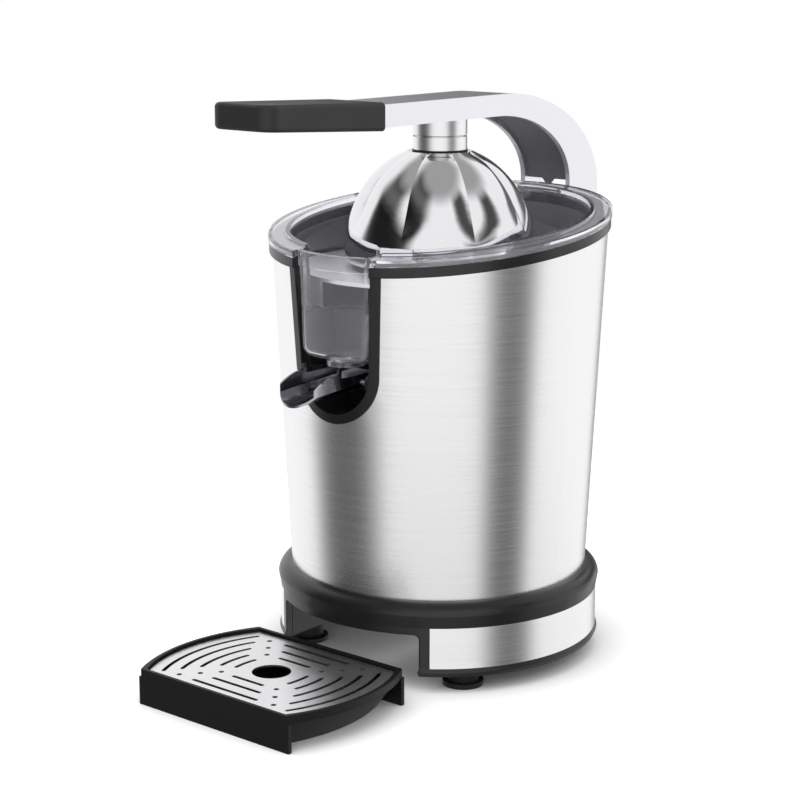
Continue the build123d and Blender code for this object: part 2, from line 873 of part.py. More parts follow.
def make_cooling_fan():
    place = motor_place()
    top = fan_bottom + fan_height
    fan = cylinder(fan_radius, fan_bottom, fan_bottom + fan_plate) + cylinder(fan_hub_radius, fan_bottom, top)
    tip = fan_radius - fan_blade_width
    blade = block((0, -fan_blade_width / 2, fan_bottom), (tip, fan_blade_width / 2, top - fan_blade_width))
    fan += [Rot(0, 0, 360 * turn / fan_blades) * blade for turn in range(fan_blades)]
    fan -= cylinder(motor_shaft_radius, fan_bottom - overrun, top + overrun)
    return Pos(place[0], place[1], 0) * fan


def notch_cut(depth):
    """The opening for the drip tray, from the front to a depth behind the axis."""
    face = Pos(0, (notch_top - overrun) / 2) * Rectangle(2 * notch_half_width, notch_top + overrun)
    face = fillet(face.vertices().group_by(Axis.Y)[-1], notch_corner)
    return Pos(0, depth, 0) * extrude(Plane.XZ * face, amount=reach + depth)


def base_post_places():
    """Four screw posts, mirrored to both sides."""
    return [(side * x, y) for side in (-1, 1) for x, y in base_screw_places]


def make_base_skirt():
    inner = skirt_wall_radius - skirt_wall
    shelf_bottom = base_height - skirt_shelf
    spigot = shell_bottom_radius - shell_wall - seat_gap
    edges = [
        Line((spigot - spigot_wall, base_height), (spigot - spigot_wall, base_height + spigot_rise)),
        Line((spigot - spigot_wall, base_height + spigot_rise), (spigot, base_height + spigot_rise)),
        Line((spigot, base_height + spigot_rise), (spigot, base_height)),
        Line((spigot, base_height), (shell_bottom_radius, base_height)),
    ]
    shoulder = (skirt_bulge_radius, skirt_bulge_height)
    crown = (
        shell_bottom_radius + (skirt_bulge_radius - shell_bottom_radius) * math.sin(math.pi / 4),
        skirt_bulge_height + (base_height - skirt_bulge_height) * math.sin(math.pi / 4),
    )
    edges.append(ThreePointArc((shell_bottom_radius, base_height), crown, shoulder))
    edges.append(Line(shoulder, (skirt_wall_radius, band_top)))
    edges.append(Line((skirt_wall_radius, band_top), (skirt_wall_radius, band_bottom)))
    edges.append(Line((skirt_wall_radius, band_bottom), (lip_radius, (band_bottom + lip_bottom) / 2)))
    edges.append(Line((lip_radius, (band_bottom + lip_bottom) / 2), (skirt_wall_radius, lip_bottom)))
    edges.append(Line((skirt_wall_radius, lip_bottom), (inner, lip_bottom)))
    edges.append(Line((inner, lip_bottom), (inner, shelf_bottom)))
    edges.append(Line((inner, shelf_bottom), (skirt_shelf_radius, shelf_bottom)))
    edges.append(Line((skirt_shelf_radius, shelf_bottom), (skirt_shelf_radius, base_height)))
    edges.append(Line((skirt_shelf_radius, base_height), (spigot - spigot_wall, base_height)))
    skirt = turned(edges)
    room_inner = skirt_wall_radius - band_sheet - seat_gap
    band_room = tube(skirt_wall_radius + overrun, room_inner, band_bottom, band_top)
    half = band_gap_half_width
    skirt -= band_room - block((-half, -reach, 0), (half, 0, base_height))
    skirt -= notch_cut(0)
    plate_top = lip_bottom + plate_thickness
    for place in base_post_places():
        skirt += cylinder(base_post_radius, plate_top, shelf_bottom, place)
        skirt -= cylinder(base_screw_radius, plate_top - overrun, plate_top + base_screw_length, place)
    return skirt - along(gland_radius, 0, reach, 0, gland_height)


def make_base_band():
    band = tube(skirt_wall_radius, skirt_wall_radius - band_sheet, band_bottom, band_top)
    half = band_gap_half_width + seat_gap
    band -= block((-half, -reach, 0), (half, 0, base_height))
    return band - along(gland_radius + seat_gap, 0, reach, 0, gland_height)


def make_tray_bay():
    inner = skirt_wall_radius - skirt_wall - seat_gap
    outer_half = notch_half_width + bay_wall
    ceiling = notch_top + bay_wall
    bay = block((-outer_half, -reach, lip_bottom), (outer_half, bay_back + bay_wall, ceiling))
    bay &= cylinder(inner, lip_bottom, ceiling)
    return bay - notch_cut(bay_back)


def make_base_plate():
    radius = skirt_wall_radius - skirt_wall - seat_gap
    top = lip_bottom + plate_thickness
    plate = cylinder(radius, lip_bottom, top)
    half = notch_half_width + bay_wall + seat_gap
    plate -= block((-half, -reach, 0), (half, bay_back + bay_wall + seat_gap, reach))
    for place in base_post_places():
        plate -= cylinder(base_screw_radius, lip_bottom - overrun, top + overrun, place)
    vent = extrude(SlotOverall(plate_vent_length, plate_vent_width), amount=3 * plate_thickness)
    first = -plate_vent_pitch * (plate_vents - 1) / 2
    for row in range(plate_vents):
        place = Pos(first + plate_vent_pitch * row, plate_vent_back, lip_bottom - plate_thickness)
        plate -= place * Rot(0, 0, 90) * vent
    return plate


def make_rubber_feet():
    feet = []
    for x in (-foot_across, foot_across):
        for y in (-foot_along, foot_along):
            pad = cylinder(foot_radius, 0, foot_pad_height, (x, y))
            feet.append(pad + cylinder(foot_stem_radius, foot_pad_height, lip_bottom, (x, y)))
    return Part() + feet


def make_base_screws():
    plate_top = lip_bottom + plate_thickness
    return Part() + [
        cylinder(base_screw_radius, lip_bottom, plate_top + base_screw_length - seat_gap, place)
        + cylinder(base_screw_head, lip_bottom - base_screw_head_height, lip_bottom, place)
        for place in base_post_places()
    ]


def make_cord_gland():
    outside = lip_radius
    gland = along(gland_radius, outside - gland_length, outside, 0, gland_height)
    gland += along(gland_flange_radius, outside, outside + gland_flange, 0, gland_height)
    return gland - along(gland_bore_radius, outside - reach, outside + reach, 0, gland_height)


def arch_edge(centre_back, centre_height, depth, top):
    """A quarter of an ellipse from straight up to straight back."""
    centre = (centre_back, centre_height)
    return EllipticalCenterArc(centre, depth, top - centre_height, start_angle=0, arc_size=90)


def arch_face(outer_inset, inner_outset, front, bottom):
    """The side view of the arm between two arches, from a front edge round to the leg."""
    outer = arch_edge(arch_outer_centre_back, arch_outer_centre_height, arch_outer_depth - outer_inset,
                      arm_top - outer_inset)
    inner = arch_edge(arch_inner_centre_back, arch_inner_centre_height, arch_inner_depth + inner_outset,
                      arm_underside + inner_outset)
    outer_back = arch_outer_centre_back + arch_outer_depth - outer_inset
    inner_back = arch_inner_centre_back + arch_inner_depth + inner_outset
    top = arm_top - outer_inset
    under = arm_underside + inner_outset
    edges = [
        Line((-front, top), (arch_outer_centre_back, top)),
        outer,
        Line((outer_back, arch_outer_centre_height), (outer_back, bottom)),
        Line((outer_back, bottom), (inner_back, bottom)),
        Line((inner_back, bottom), (inner_back, arch_inner_centre_height)),
        inner,
        Line((arch_inner_centre_back, under), (-front, under)),
        Line((-front, under), (-front, top)),
    ]
    return make_face(edges)


def make_lever_arm():
    arm = side_prism(arch_face(0, 0, arm_front, hinge_height), arm_half_width)
    inner_half = arm_half_width - arm_cheek
    room = side_prism(arch_face(arm_spine, -reach / 8, 0, hinge_height - overrun), inner_half)
    arm -= room & block((-inner_half, liner_start, 0), (inner_half, reach, 2 * reach))
    leg_front = hinge_back - hinge_end_radius - overrun
    fork_low = (-inner_half, leg_front, hinge_height - overrun)
    arm -= block(fork_low, (inner_half, hinge_back + reach, spine_end))
    for side in (-1, 1):
        ends = sorted((side * inner_half, side * arm_half_width))
        arm += across(hinge_end_radius, ends[0], ends[1], hinge_back, hinge_height)
    arm -= across(pin_radius + hinge_bush_wall, -reach, reach, hinge_back, hinge_height)
    tang_tip = -arm_front - tang_length
    arm += block((-tang_half_width, tang_tip, tang_bottom), (tang_half_width, -arm_front, tang_top))
    arm -= cylinder(neck_bolt_radius, arm_underside - overrun, arm_underside + neck_bolt_thread())
    for forward in grip_screw_places:
        arm -= cylinder(grip_screw_radius, tang_bottom - overrun, tang_top + overrun, (0, -forward))
    return arm


def neck_bolt_thread():
    """How far the neck bolt reaches into the arm."""
    return (arm_top - arm_underside) * 2 / 3


def make_arm_liner():
    half = arm_half_width - arm_cheek - seat_gap
    plate = side_prism(arch_face(0, liner_inset, 0, spine_end - overrun), half)
    hollow = arch_face(-overrun, liner_inset + liner_thickness, overrun, hinge_height)
    plate -= side_prism(hollow, arm_half_width)
    plate &= block((-half, liner_start + seat_gap, spine_end), (half, reach, 2 * reach))
    inner_back = arch_inner_centre_back + arch_inner_depth + liner_inset
    tip = [(side * liner_tip_half_width, spine_end) for side in (-1, 1)]
    tip.append((0, spine_end - liner_tip_length))
    tab = extrude(Plane.XZ * make_face(outline(tip)), amount=-liner_thickness)
    return plate + Pos(0, inner_back, 0) * tab


def grip_face(inset):
    """The side view of the grip, made smaller by an inset."""
    points = [
        (-arm_front, grip_rear_bottom + inset),
        (-arm_front, grip_rear_top - inset),
        (-grip_front + inset, grip_front_top - inset),
        (-grip_front + inset, grip_front_bottom + inset),
    ]
    return make_face(outline(points))


def make_grip():
    grip = side_prism(grip_face(0), grip_half_width)
    grip = fillet(grip.edges().filter_by(Axis.Z).group_by(Axis.Y)[0], grip_corner)
    rear = grip.faces().sort_by(Axis.Y)[-1]
    grip = fillet([edge for edge in grip.edges() if edge not in rear.edges()
                   and abs(edge.center().Z - (grip_rear_top + grip_front_bottom) / 2) > grip_edge], grip_edge)
    room = seat_gap
    tang_tip = -arm_front - tang_length
    grip -= block(
        (-tang_half_width - room, tang_tip - room, tang_bottom - room),
        (tang_half_width + room, -arm_front + overrun, tang_top + room),
    )
    for forward in grip_screw_places:
        grip -= cylinder(grip_screw_radius, grip_rear_bottom - overrun, tang_bottom, (0, -forward))
        grip -= cylinder(grip_screw_head, grip_rear_bottom - overrun, grip_screw_seat(forward), (0, -forward))
    return grip


def grip_screw_seat(forward):
    """Where the head of a grip screw seats, in a counterbore in the sloping underside."""
    share = (forward - arm_front) / (grip_front - arm_front)
    underside = grip_rear_bottom + share * (grip_front_bottom - grip_rear_bottom)
    return underside + grip_screw_head_height


def make_grip_screws():
    screws = []
    for forward in grip_screw_places:
        seat = grip_screw_seat(forward)
        head = cylinder(grip_screw_head - seat_gap, seat - grip_screw_head_height, seat, (0, -forward))
        screws.append(head + cylinder(grip_screw_radius, seat, tang_top, (0, -forward)))
    return Part() + screws


def hinge_screw_places():
    """Side, height and shell surface of the four hinge screws."""
    return [
        (side, height, math.sqrt(shell_radius(height) ** 2 - side ** 2))
        for side in (-hinge_screw_across, hinge_screw_across)
        for height in (hinge_screw_low, hinge_screw_high)
    ]


def make_hinge_bracket():
    half = arm_half_width - arm_cheek - slip_gap
    pad = shell_layer(-overrun, bracket_pad_thickness, bracket_pad_bottom)
    pad_low = (-bracket_pad_half_width, 0, bracket_pad_bottom)
    pad &= block(pad_low, (bracket_pad_half_width, reach, bracket_pad_top))
    web = block((-half, 0, bracket_web_bottom), (half, hinge_back, hinge_height + lug_radius))
    web += across(lug_radius, -half, half, hinge_back, hinge_height)
    lug_slope = [
        (0, bracket_pad_bottom + overrun),
        (hinge_back, hinge_height - lug_radius),
        (hinge_back, hinge_height),
        (0, hinge_height),
    ]
    web += side_prism(make_face(outline(lug_slope)), half)
    bracket = pad + web - shell_core(seat_gap)
    bracket -= across(pin_radius, -reach, reach, hinge_back, hinge_height)
    for side, height, wall in hinge_screw_places():
        bracket -= along(hinge_screw_radius, 0, reach, side, height)
        bracket -= along(hinge_screw_head + seat_gap, wall + bracket_pad_thickness, reach, side, height)
    return bracket


def make_hinge_backing():
    face = -shell_wall - seat_gap
    plate = shell_layer(face - backing_thickness, face, bracket_pad_bottom)
    plate_low = (-bracket_pad_half_width, 0, bracket_pad_bottom)
    plate &= block(plate_low, (bracket_pad_half_width, reach, bracket_pad_top))
    for side, height, wall in hinge_screw_places():
        plate -= along(hinge_screw_radius, 0, reach, side, height)
    return plate


def make_hinge_screws():
    screws = []
    for side, height, wall in hinge_screw_places():
        inside = wall - shell_wall - seat_gap - backing_thickness
        head = wall + bracket_pad_thickness
        shank = along(hinge_screw_radius, inside, head, side, height)
        screws.append(shank + along(hinge_screw_head, head, head + hinge_screw_head_height, side, height))
    return Part() + screws


def make_hinge_pin():
    end = arm_half_width + slip_gap
    pin = across(pin_radius, -end, end, hinge_back, hinge_height)
    pin += across(pin_head_radius, end, end + pin_head, hinge_back, hinge_height)
    return pin + across(pin_head_radius, -end - pin_head, -end, hinge_back, hinge_height)


def make_hinge_bushes():
    bushes = []
    for side in (-1, 1):
        ends = sorted((side * (arm_half_width - arm_cheek), side * arm_half_width))
        bush = across(pin_radius + hinge_bush_wall, ends[0], ends[1], hinge_back, hinge_height)
        bushes.append(bush - across(pin_radius + shaft_gap, -reach, reach, hinge_back, hinge_height))
    return Part() + bushes


def make_neck_sleeve():
    sleeve = tube(neck_radius, neck_bolt_radius + seat_gap, neck_groove_height, arm_underside)
    ring = tube(neck_radius + overrun, neck_radius - neck_groove_depth, neck_groove_height,
                neck_groove_height + neck_groove)
    return sleeve - ring


def make_neck_collar():
    low = neck_ring_bottom + neck_ring_height
    return tube(neck_radius, neck_bolt_radius + seat_gap, low, neck_groove_height)


def make_neck_ring():
    top = neck_ring_bottom + neck_ring_height
    return tube(neck_ring_radius, neck_bolt_radius + seat_gap, neck_ring_bottom, top)


def dome_section(share):
    """The lobed outline of the dome at a share of its height."""
    radius = dome_radius * math.sqrt(1 - share ** 2)
    rise = min(max((share - dome_fade_share) / (dome_full_share - dome_fade_share), 0), 1)
    if share > dome_collar_share:
        rise = 0
    crease = radius * (1 - dome_crease_share * rise ** 2 * (3 - 2 * rise))
    step = 2 * math.pi / dome_lobes
    arcs = []
    for lobe in range(dome_lobes):
        middle = -math.pi / 2 + math.radians(dome_turn) + lobe * step
        turns = (middle - step / 2, middle + step / 2)
        ends = [(crease * math.cos(angle), crease * math.sin(angle)) for angle in turns]
        arcs.append(ThreePointArc(ends[0], (radius * math.cos(middle), radius * math.sin(middle)), ends[1]))
    return Pos(0, 0, dome_bottom + share * dome_height) * make_face(arcs)


def make_press_dome():
    top_share = (neck_ring_bottom - dome_bottom) / dome_height
    dome = loft([dome_section(share) for share in dome_section_shares + (top_share,)])
    dome -= Pos(0, 0, dome_bottom) * Sphere(dome_inner_radius)
    curl = dome_edge + dome_curl_radius
    foot = dome_radius - dome_curl_radius
    slant_share = math.sqrt(1 / 2)
    curl_middle = (foot + slant_share * dome_curl_radius, curl - slant_share * dome_curl_radius)
    dome += turned([
        Line((dome_inner_radius, dome_bottom), (dome_radius, dome_bottom)),
        Line((dome_radius, dome_bottom), (dome_radius, curl)),
        ThreePointArc((dome_radius, curl), curl_middle, (foot, dome_edge)),
        Line((foot, dome_edge), (dome_inner_radius, dome_edge)),
        Line((dome_inner_radius, dome_edge), (dome_inner_radius, dome_bottom)),
    ])
    return dome - cylinder(neck_bolt_radius + seat_gap, dome_bottom, neck_ring_bottom + overrun)


def make_dome_ring():
    outer = dome_inner_radius - seat_gap
    low = dome_edge - dome_ring_proud
    return tube(outer, outer - dome_ring_width, low, low + dome_ring_height)


def make_neck_bolt():
    seat = dome_bottom + math.sqrt(dome_inner_radius ** 2 - neck_bolt_head ** 2)
    low = seat - neck_bolt_head_height
    bolt = cylinder(neck_bolt_radius, low, arm_underside + neck_bolt_thread() - seat_gap)
    return bolt + cylinder(neck_bolt_head, low, seat - seat_gap)


def spout_channel(inset, front, back):
    """A sloping trough section, made smaller by an inset, between two distances forward."""
    half = spout_half_width - inset
    slope = math.radians(spout_slope)
    lift = (spout_lip - back) * math.tan(slope)
    origin = (0, -back, spout_floor_front + lift)
    plane = Plane(origin=origin, x_dir=(1, 0, 0), z_dir=(0, -math.cos(slope), -math.sin(slope)))
    rise = spout_belly - math.sqrt(spout_belly ** 2 - spout_half_width ** 2)
    wall_top = spout_ear_height - spout_floor_front + overrun
    edges = [
        ThreePointArc((-half, rise), (0, inset), (half, rise)),
        Line((half, rise), (half, wall_top)),
        Line((half, wall_top), (-half, wall_top)),
        Line((-half, wall_top), (-half, rise)),
    ]
    return extrude(plane * make_face(edges), amount=front - back)


def make_spout():
    rear_bottom = spout_floor_front - overrun
    nose_run = spout_lip - spout_shoulder
    nose_rise = spout_shoulder_height - spout_lip_height
    nose_forward = -spout_lip + spout_nose_shares[0] * nose_run
    nose_middle = (nose_forward, spout_lip_height + spout_nose_shares[1] * nose_rise)
    rear = [
        (-spout_shoulder, spout_shoulder_height),
        (-spout_shoulder, spout_ear_height),
        (-spout_ear_back, spout_ear_height),
        (-spout_ear_back, spout_rim_height),
        (-spout_back, spout_rim_height),
        (-spout_back, rear_bottom),
        (-spout_lip, rear_bottom),
        (-spout_lip, spout_lip_height),
    ]
    side = Polyline(*rear).edges() + [ThreePointArc(rear[-1], nose_middle, rear[0])]
    spout = spout_channel(0, spout_lip + overrun, spout_back) & side_prism(make_face(side), reach)
    spout -= spout_channel(spout_sheet, spout_lip + 2 * overrun, spout_back + spout_sheet)
    nose_centre = -spout_lip + spout_nose_radius
    nose = cylinder(spout_nose_radius, 0, reach, (0, nose_centre))
    spout &= nose + block((-spout_half_width, nose_centre, 0), (spout_half_width, 0, reach))
    for direction in (-1, 1):
        ends = sorted((direction * (spout_half_width - spout_sheet / 2), direction * trunnion_reach))
        spout += across(trunnion_radius, ends[0], ends[1], -trunnion_forward, trunnion_height)
    return spout


def tray_plan(side_inset, end_inset):
    """The tray's plan: straight front and back, bulging sides, made smaller by insets."""
    x = tray_half_length - side_inset
    y = tray_half_depth - end_inset
    middle = x + tray_bulge
    edges = [
        Line((-x, -y), (x, -y)),
        ThreePointArc((x, -y), (middle, 0), (x, y)),
        Line((x, y), (-x, y)),
        ThreePointArc((-x, y), (-middle, 0), (-x, -y)),
    ]
    return Pos(0, -tray_forward) * make_face(edges)


def tray_pan(bottom, side_inset, end_inset):
    """The sloping lower part of the tray, from a floor up to the rim."""
    rim_bottom = tray_top - tray_rim_drop
    share = 1 - bottom / rim_bottom
    foot = tray_shoulder_inset + (tray_foot_inset - tray_shoulder_inset) * share
    return loft([
        Pos(0, 0, bottom) * tray_plan(foot + side_inset, end_inset),
        Pos(0, 0, rim_bottom) * tray_plan(tray_shoulder_inset + side_inset, end_inset),
    ])


def make_drip_tray():
    rim_bottom = tray_top - tray_rim_drop
    ledge = tray_top - tray_ledge_drop
    tray = Pos(0, 0, rim_bottom) * extrude(tray_plan(0, 0), amount=tray_rim_drop)
    tray += tray_pan(0, 0, 0)
    front = -tray_forward - tray_half_depth
    back = -tray_forward + tray_half_depth
    for low, high in ((front, front + tray_end_wall), (back - tray_end_wall, back)):
        end = tray_half_length + tray_end_proud
        tray += block((-end, low, 0), (end, high, rim_bottom))
    tray -= Pos(0, 0, ledge) * extrude(tray_plan(tray_wall, tray_wall), amount=tray_top)
    inset = tray_wall + tray_ledge
    drop = Pos(0, 0, rim_bottom) * extrude(tray_plan(inset, inset), amount=tray_top)
    return tray - drop - tray_pan(tray_floor, tray_wall + tray_ledge, tray_wall + tray_ledge)


def make_drip_grid():
    ledge = tray_top - tray_ledge_drop
    inset = tray_wall + grid_gap
    cuts = [Pos(0, -tray_forward) * Circle(grid_hole_radius)]
    bow = (tray_half_depth ** 2 + tray_bulge ** 2) / (2 * tray_bulge)
    bow_centre = tray_half_length + tray_bulge - bow
    for row in range(3):
        half = grid_straight_first_half + grid_straight_grow * row
        along_y = grid_straight_first + grid_straight_pitch * row
        for side in (-1, 1):
            slot = SlotOverall(2 * half, grid_slot_width)
            cuts.append(Pos(0, -tray_forward + side * along_y) * slot)
            for turn in (-1, 1):
                dot = (turn * (grid_dot_first[0] + grid_dot_step[0] * row),
                       side * (grid_dot_first[1] + grid_dot_step[1] * row) - tray_forward)
                cuts.append(Pos(*dot) * Circle(grid_dot_radius))
    for row, half in enumerate(grid_arc_halves):
        radius = grid_arc_first + grid_arc_pitch * row - bow_centre
        spread = math.degrees(math.asin(half / radius))
        path = CenterArc((bow_centre, 0), radius, -spread, 2 * spread)
        slot = SlotArc(path, grid_slot_width)
        cuts.append(Pos(0, -tray_forward) * slot)
        cuts.append(Pos(0, -tray_forward) * mirror(slot, Plane.YZ))
    plan = tray_plan(inset, inset)
    for cut in cuts:
        plan -= cut
    return Pos(0, 0, ledge) * extrude(plan, amount=grid_sheet)


pieces = {
    "base_skirt": make_base_skirt,
    "base_band": make_base_band,
    "base_plate": make_base_plate,
    "tray_bay": make_tray_bay,
    "rubber_feet": make_rubber_feet,
    "base_screws": make_base_screws,
    "cord_gland": make_cord_gland,
    "housing_shell": make_housing_shell,
    "rim_trim": make_rim_trim,
    "spout_recess": make_spout_recess,
    "bowl_seat": make_bowl_seat,
    "clear_collector": make_clear_collector,
    "strainer": make_strainer,
    "shaft_bush": make_shaft_bush,
    "shaft_seal": make_shaft_seal,
    "gearbox_base": make_gearbox_base,
    "gearbox_lid": make_gearbox_lid,
    "gearbox_screws": make_gearbox_screws,
    "idler_axle": make_idler_axle,
    "motor_can": make_motor_can,
    "motor_stator": make_motor_stator,
    "motor_end_cap": make_motor_end_cap,
    "motor_bushes": make_motor_bushes,
    "motor_screws": make_motor_screws,
    "start_switch": make_start_switch,
    "return_spring": make_return_spring,
    "hinge_bracket": make_hinge_bracket,
    "hinge_backing": make_hinge_backing,
    "hinge_screws": make_hinge_screws,
    "hinge_pin": make_hinge_pin,
    "lever_arm": make_lever_arm,
    "arm_liner": make_arm_liner,
    "grip": make_grip,
    "grip_screws": make_grip_screws,
    "hinge_bushes": make_hinge_bushes,
    "neck_sleeve": make_neck_sleeve,
    "neck_collar": make_neck_collar,
    "neck_ring": make_neck_ring,
    "press_dome": make_press_dome,
    "dome_ring": make_dome_ring,
    "neck_bolt": make_neck_bolt,
    "thrust_button": make_thrust_button,
    "reamer_cone": make_reamer_cone,
    "drive_shaft": lambda: drive_shaft_solid(0),
    "output_gear": make_output_gear,
    "idler_gear": make_idler_gear,
    "motor_shaft": make_motor_shaft,
    "motor_pinion": make_motor_pinion,
    "rotor_core": make_rotor_core,
    "cooling_fan": make_cooling_fan,
    "spout": make_spout,
    "drip_tray": make_drip_tray,
    "drip_grid": make_drip_grid,
}

footprint_front = tray_forward + tray_half_depth
footprint_back = arch_outer_centre_back + arch_outer_depth
axis_back = (footprint_front - footprint_back) / 2

os.makedirs("parts", exist_ok=True)
for name, make in pieces.items():
    export_step(Pos(0, axis_back, 0) * make(), f"parts/{name}.step")
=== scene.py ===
import math
from typing import NamedTuple

import bmesh
import bpy
from bpy.props import FloatProperty, FloatVectorProperty, PointerProperty
from bpy.types import Operator, Panel, PropertyGroup
from mathutils import Euler, Matrix, Vector


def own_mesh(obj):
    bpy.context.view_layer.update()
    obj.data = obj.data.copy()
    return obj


bl_info = {
    "name": "Lever citrus press finishes",
    "version": (1, 0, 0),
    "blender": (4, 5, 0),
    "location": "View3D > Sidebar > Citrus press",
    "description": "Finishes, stage and camera for an electric lever citrus press",
    "category": "Object",
}

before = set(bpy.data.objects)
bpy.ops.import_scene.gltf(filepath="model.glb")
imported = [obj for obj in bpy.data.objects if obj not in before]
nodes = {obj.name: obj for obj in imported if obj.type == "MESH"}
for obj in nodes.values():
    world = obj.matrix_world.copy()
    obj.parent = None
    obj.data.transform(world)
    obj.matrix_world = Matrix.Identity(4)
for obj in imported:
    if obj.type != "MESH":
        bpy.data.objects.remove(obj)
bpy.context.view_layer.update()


def linear(hex_colour):
    """A linear colour from an sRGB hex value."""
    parts = [int(hex_colour[i:i + 2], 16) / 255 for i in (1, 3, 5)]
    return tuple(p / 12.92 if p <= 0.04045 else ((p + 0.055) / 1.055) ** 2.4 for p in parts)


def rgba(colour):
    """A colour with full alpha."""
    return (*colour, 1.0)


def shade(colour, factor):
    """A colour made darker or lighter."""
    return tuple(min(max(c * factor, 0), 1) for c in colour)


def around(value, below, above):
    """The range of a value that varies by a share below it and a share above it."""
    return {"To Min": value * (1 - below), "To Max": value * (1 + above)}


def colour_property(name, hex_colour, description):
    """A colour that a user may change."""
    return FloatVectorProperty(name=name, description=description, subtype="COLOR", size=3, min=0, max=1,
                               default=linear(hex_colour))


def length_property(name, default, description):
    """A length in metres that a user may change."""
    return FloatProperty(name=name, description=description, subtype="DISTANCE", unit="LENGTH", min=0.0001,
                         default=default, precision=4)


def place_property(name, default, description):
    """A place in metres that a user may change."""
    return FloatVectorProperty(name=name, description=description, subtype="XYZ", unit="LENGTH", size=3,
                               default=default)


def angle_property(name, degrees, description):
    """An angle that a user may change."""
    return FloatProperty(name=name, description=description, subtype="ANGLE", unit="ROTATION",
                         default=math.radians(degrees))


def power_property(name, default, description):
    """A lamp's power in watts that a user may change."""
    return FloatProperty(name=name, description=description, subtype="POWER", unit="POWER", min=0,
                         default=default)


class PressColours(PropertyGroup):
    """Colours of the press's finishes."""
    sheet_steel: colour_property("Sheet steel", "#fafafb", "Brushed shell, base band and neck sleeves")
    polished_steel: colour_property("Polished steel", "#ececee", "Polished steel of the dome")
    # Painted shade: the spout's steel is darker than the dome's to stand in for the dark reflections it
    # shows
    spout_steel: colour_property("Spout steel", "#b4b4b8", "Darker polished steel of the spout")
    grid_steel: colour_property("Grid steel", "#fdfdff", "Brushed steel of the drip grid and the strainer")
    casting: colour_property("Casting", "#f8f8fd", "Satin aluminium of the lever arm and its hinge")
    black_plastic: colour_property("Black plastic", "#1c1c1d", "Moulded base, rim, tray and cone")
    dark_plastic: colour_property("Dark plastic", "#4c4c4e", "Moulded gearbox, start switch and fan")
    # Painted light: the seat's grey is paler, to stand in for the light that reaches it through the clear
    # bowl
    seat: colour_property("Seat", "#6c6c6e", "Moulded seat round the clear bowl")
    liner: colour_property("Liner", "#7e7e82", "Moulded liner under the arm's arch")
    grip: colour_property("Grip", "#262728", "Soft-touch skin of the grip")
    rubber: colour_property("Rubber", "#1b1b1b", "Feet, seals and rings")
    clear: colour_property("Clear plastic", "#fafaff", "Clear plastic of the juice collector")
    nylon: colour_property("Nylon", "#e3dfd2", "Gears and hinge bushes")
    bronze: colour_property("Bronze", "#a98a55", "Sintered bushes and the pinion")
    lamination: colour_property("Lamination", "#77787c", "Motor cores")
    floor: colour_property("Floor", "#e7e7e7", "Pale paint of the studio floor")
    background: colour_property("Background", "#ffffff", "White of the surroundings")


class PressSurfaces(PropertyGroup):
    """Sizes of the patterns on the surfaces."""
    # Real brush lines and grains are about 0.1 mm wide; they are drawn coarser so that they show
    brush_spacing: length_property("Brush spacing", 0.0011, "Distance between brush lines on steel")
    moulding_grain: length_property("Moulding grain", 0.0009, "Grain of the moulded plastic")
    casting_grain: length_property("Casting grain", 0.0007, "Grain of the satin casting")
    wipe_width: length_property("Wipe width", 0.01818, "Width of the wiping haze on polished steel")
    cloud_width: length_property("Cloud width", 0.05556, "Width of the patches worn by handling")
    mould_haze: length_property("Mould haze", 0.03333, "Width of the haze in clear plastic")
    # Real sheets are 0.5 mm thick; they are drawn at about 2 mm so that they show
    sheet_pitch: length_property("Sheet pitch", 0.001963, "Distance between the sheets of a motor core")
    # Painted shade darkens the neck's groove out to this reach
    crevice_shade: length_property("Crevice", 0.0025, "Reach of the dullness in the neck's groove")
    edge_round: length_property("Edge round", 0.0009, "Rounding that catches light on moulded edges")


class PressStage(PropertyGroup):
    """Camera, floor, light and surroundings."""
    view_azimuth: angle_property("View azimuth", 40.238, "How far round from the front the camera stands")
    view_elevation: angle_property("View elevation", 12.59, "How far above level the camera stands")
    view_distance: length_property("View distance", 1.1407, "From the camera to what it aims at")
    view_aim: place_property("View aim", (-0.00264, -0.00227, 0.14838), "What the camera aims at")
    focal_length: FloatProperty(name="Focal length", description="Focal length of the camera", unit="CAMERA",
                                default=91.28, min=1)
    floor_width: length_property("Floor width", 12.0, "Side of the square floor")
    floor_glow: FloatProperty(name="Floor glow", description="Light that the open floor adds to its paint",
                              default=0.55, min=0)
    shadow_start: length_property("Shadow start", 0.32, "From here the floor's shadow fades to white")
    shadow_reach: length_property("Shadow reach", 0.8, "How far from the press the floor shows shadow")
    contact_reach: length_property("Contact reach", 0.05, "How far contact shadow spreads from a piece")
    ambient: FloatProperty(name="Ambient", description="Strength of the light from all round", default=0.55,
                           min=0)
    lamp_aim: place_property("Lamp aim", (0.0, 0.0, 0.15), "What the lamps aim at")
    key_place: place_property("Key place", (-0.2, -0.6, 2.2), "Place of the large soft lamp")
    key_width: length_property("Key width", 2.6, "Width of the large soft lamp")
    key_power: power_property("Key power", 26.0, "Power of the large soft lamp")
    fill_place: place_property("Fill place", (1.7, -0.6, 1.3), "Place of the soft lamp on the other side")
    fill_width: length_property("Fill width", 1.4, "Width of the soft lamp on the other side")
    fill_power: power_property("Fill power", 9.0, "Power of the soft lamp on the other side")


class Flag(NamedTuple):
    """A dark flag among the surroundings, seen only in reflections. Heights are shares of straight up."""
    turn: float  # degrees round from the camera's side
    half: float  # degrees from its middle to its side
    soft: float  # degrees over which each side fades, inwards and outwards
    foot: tuple  # heights between which it sets in
    top: tuple  # heights between which it ends
    level: float  # brightness that it keeps


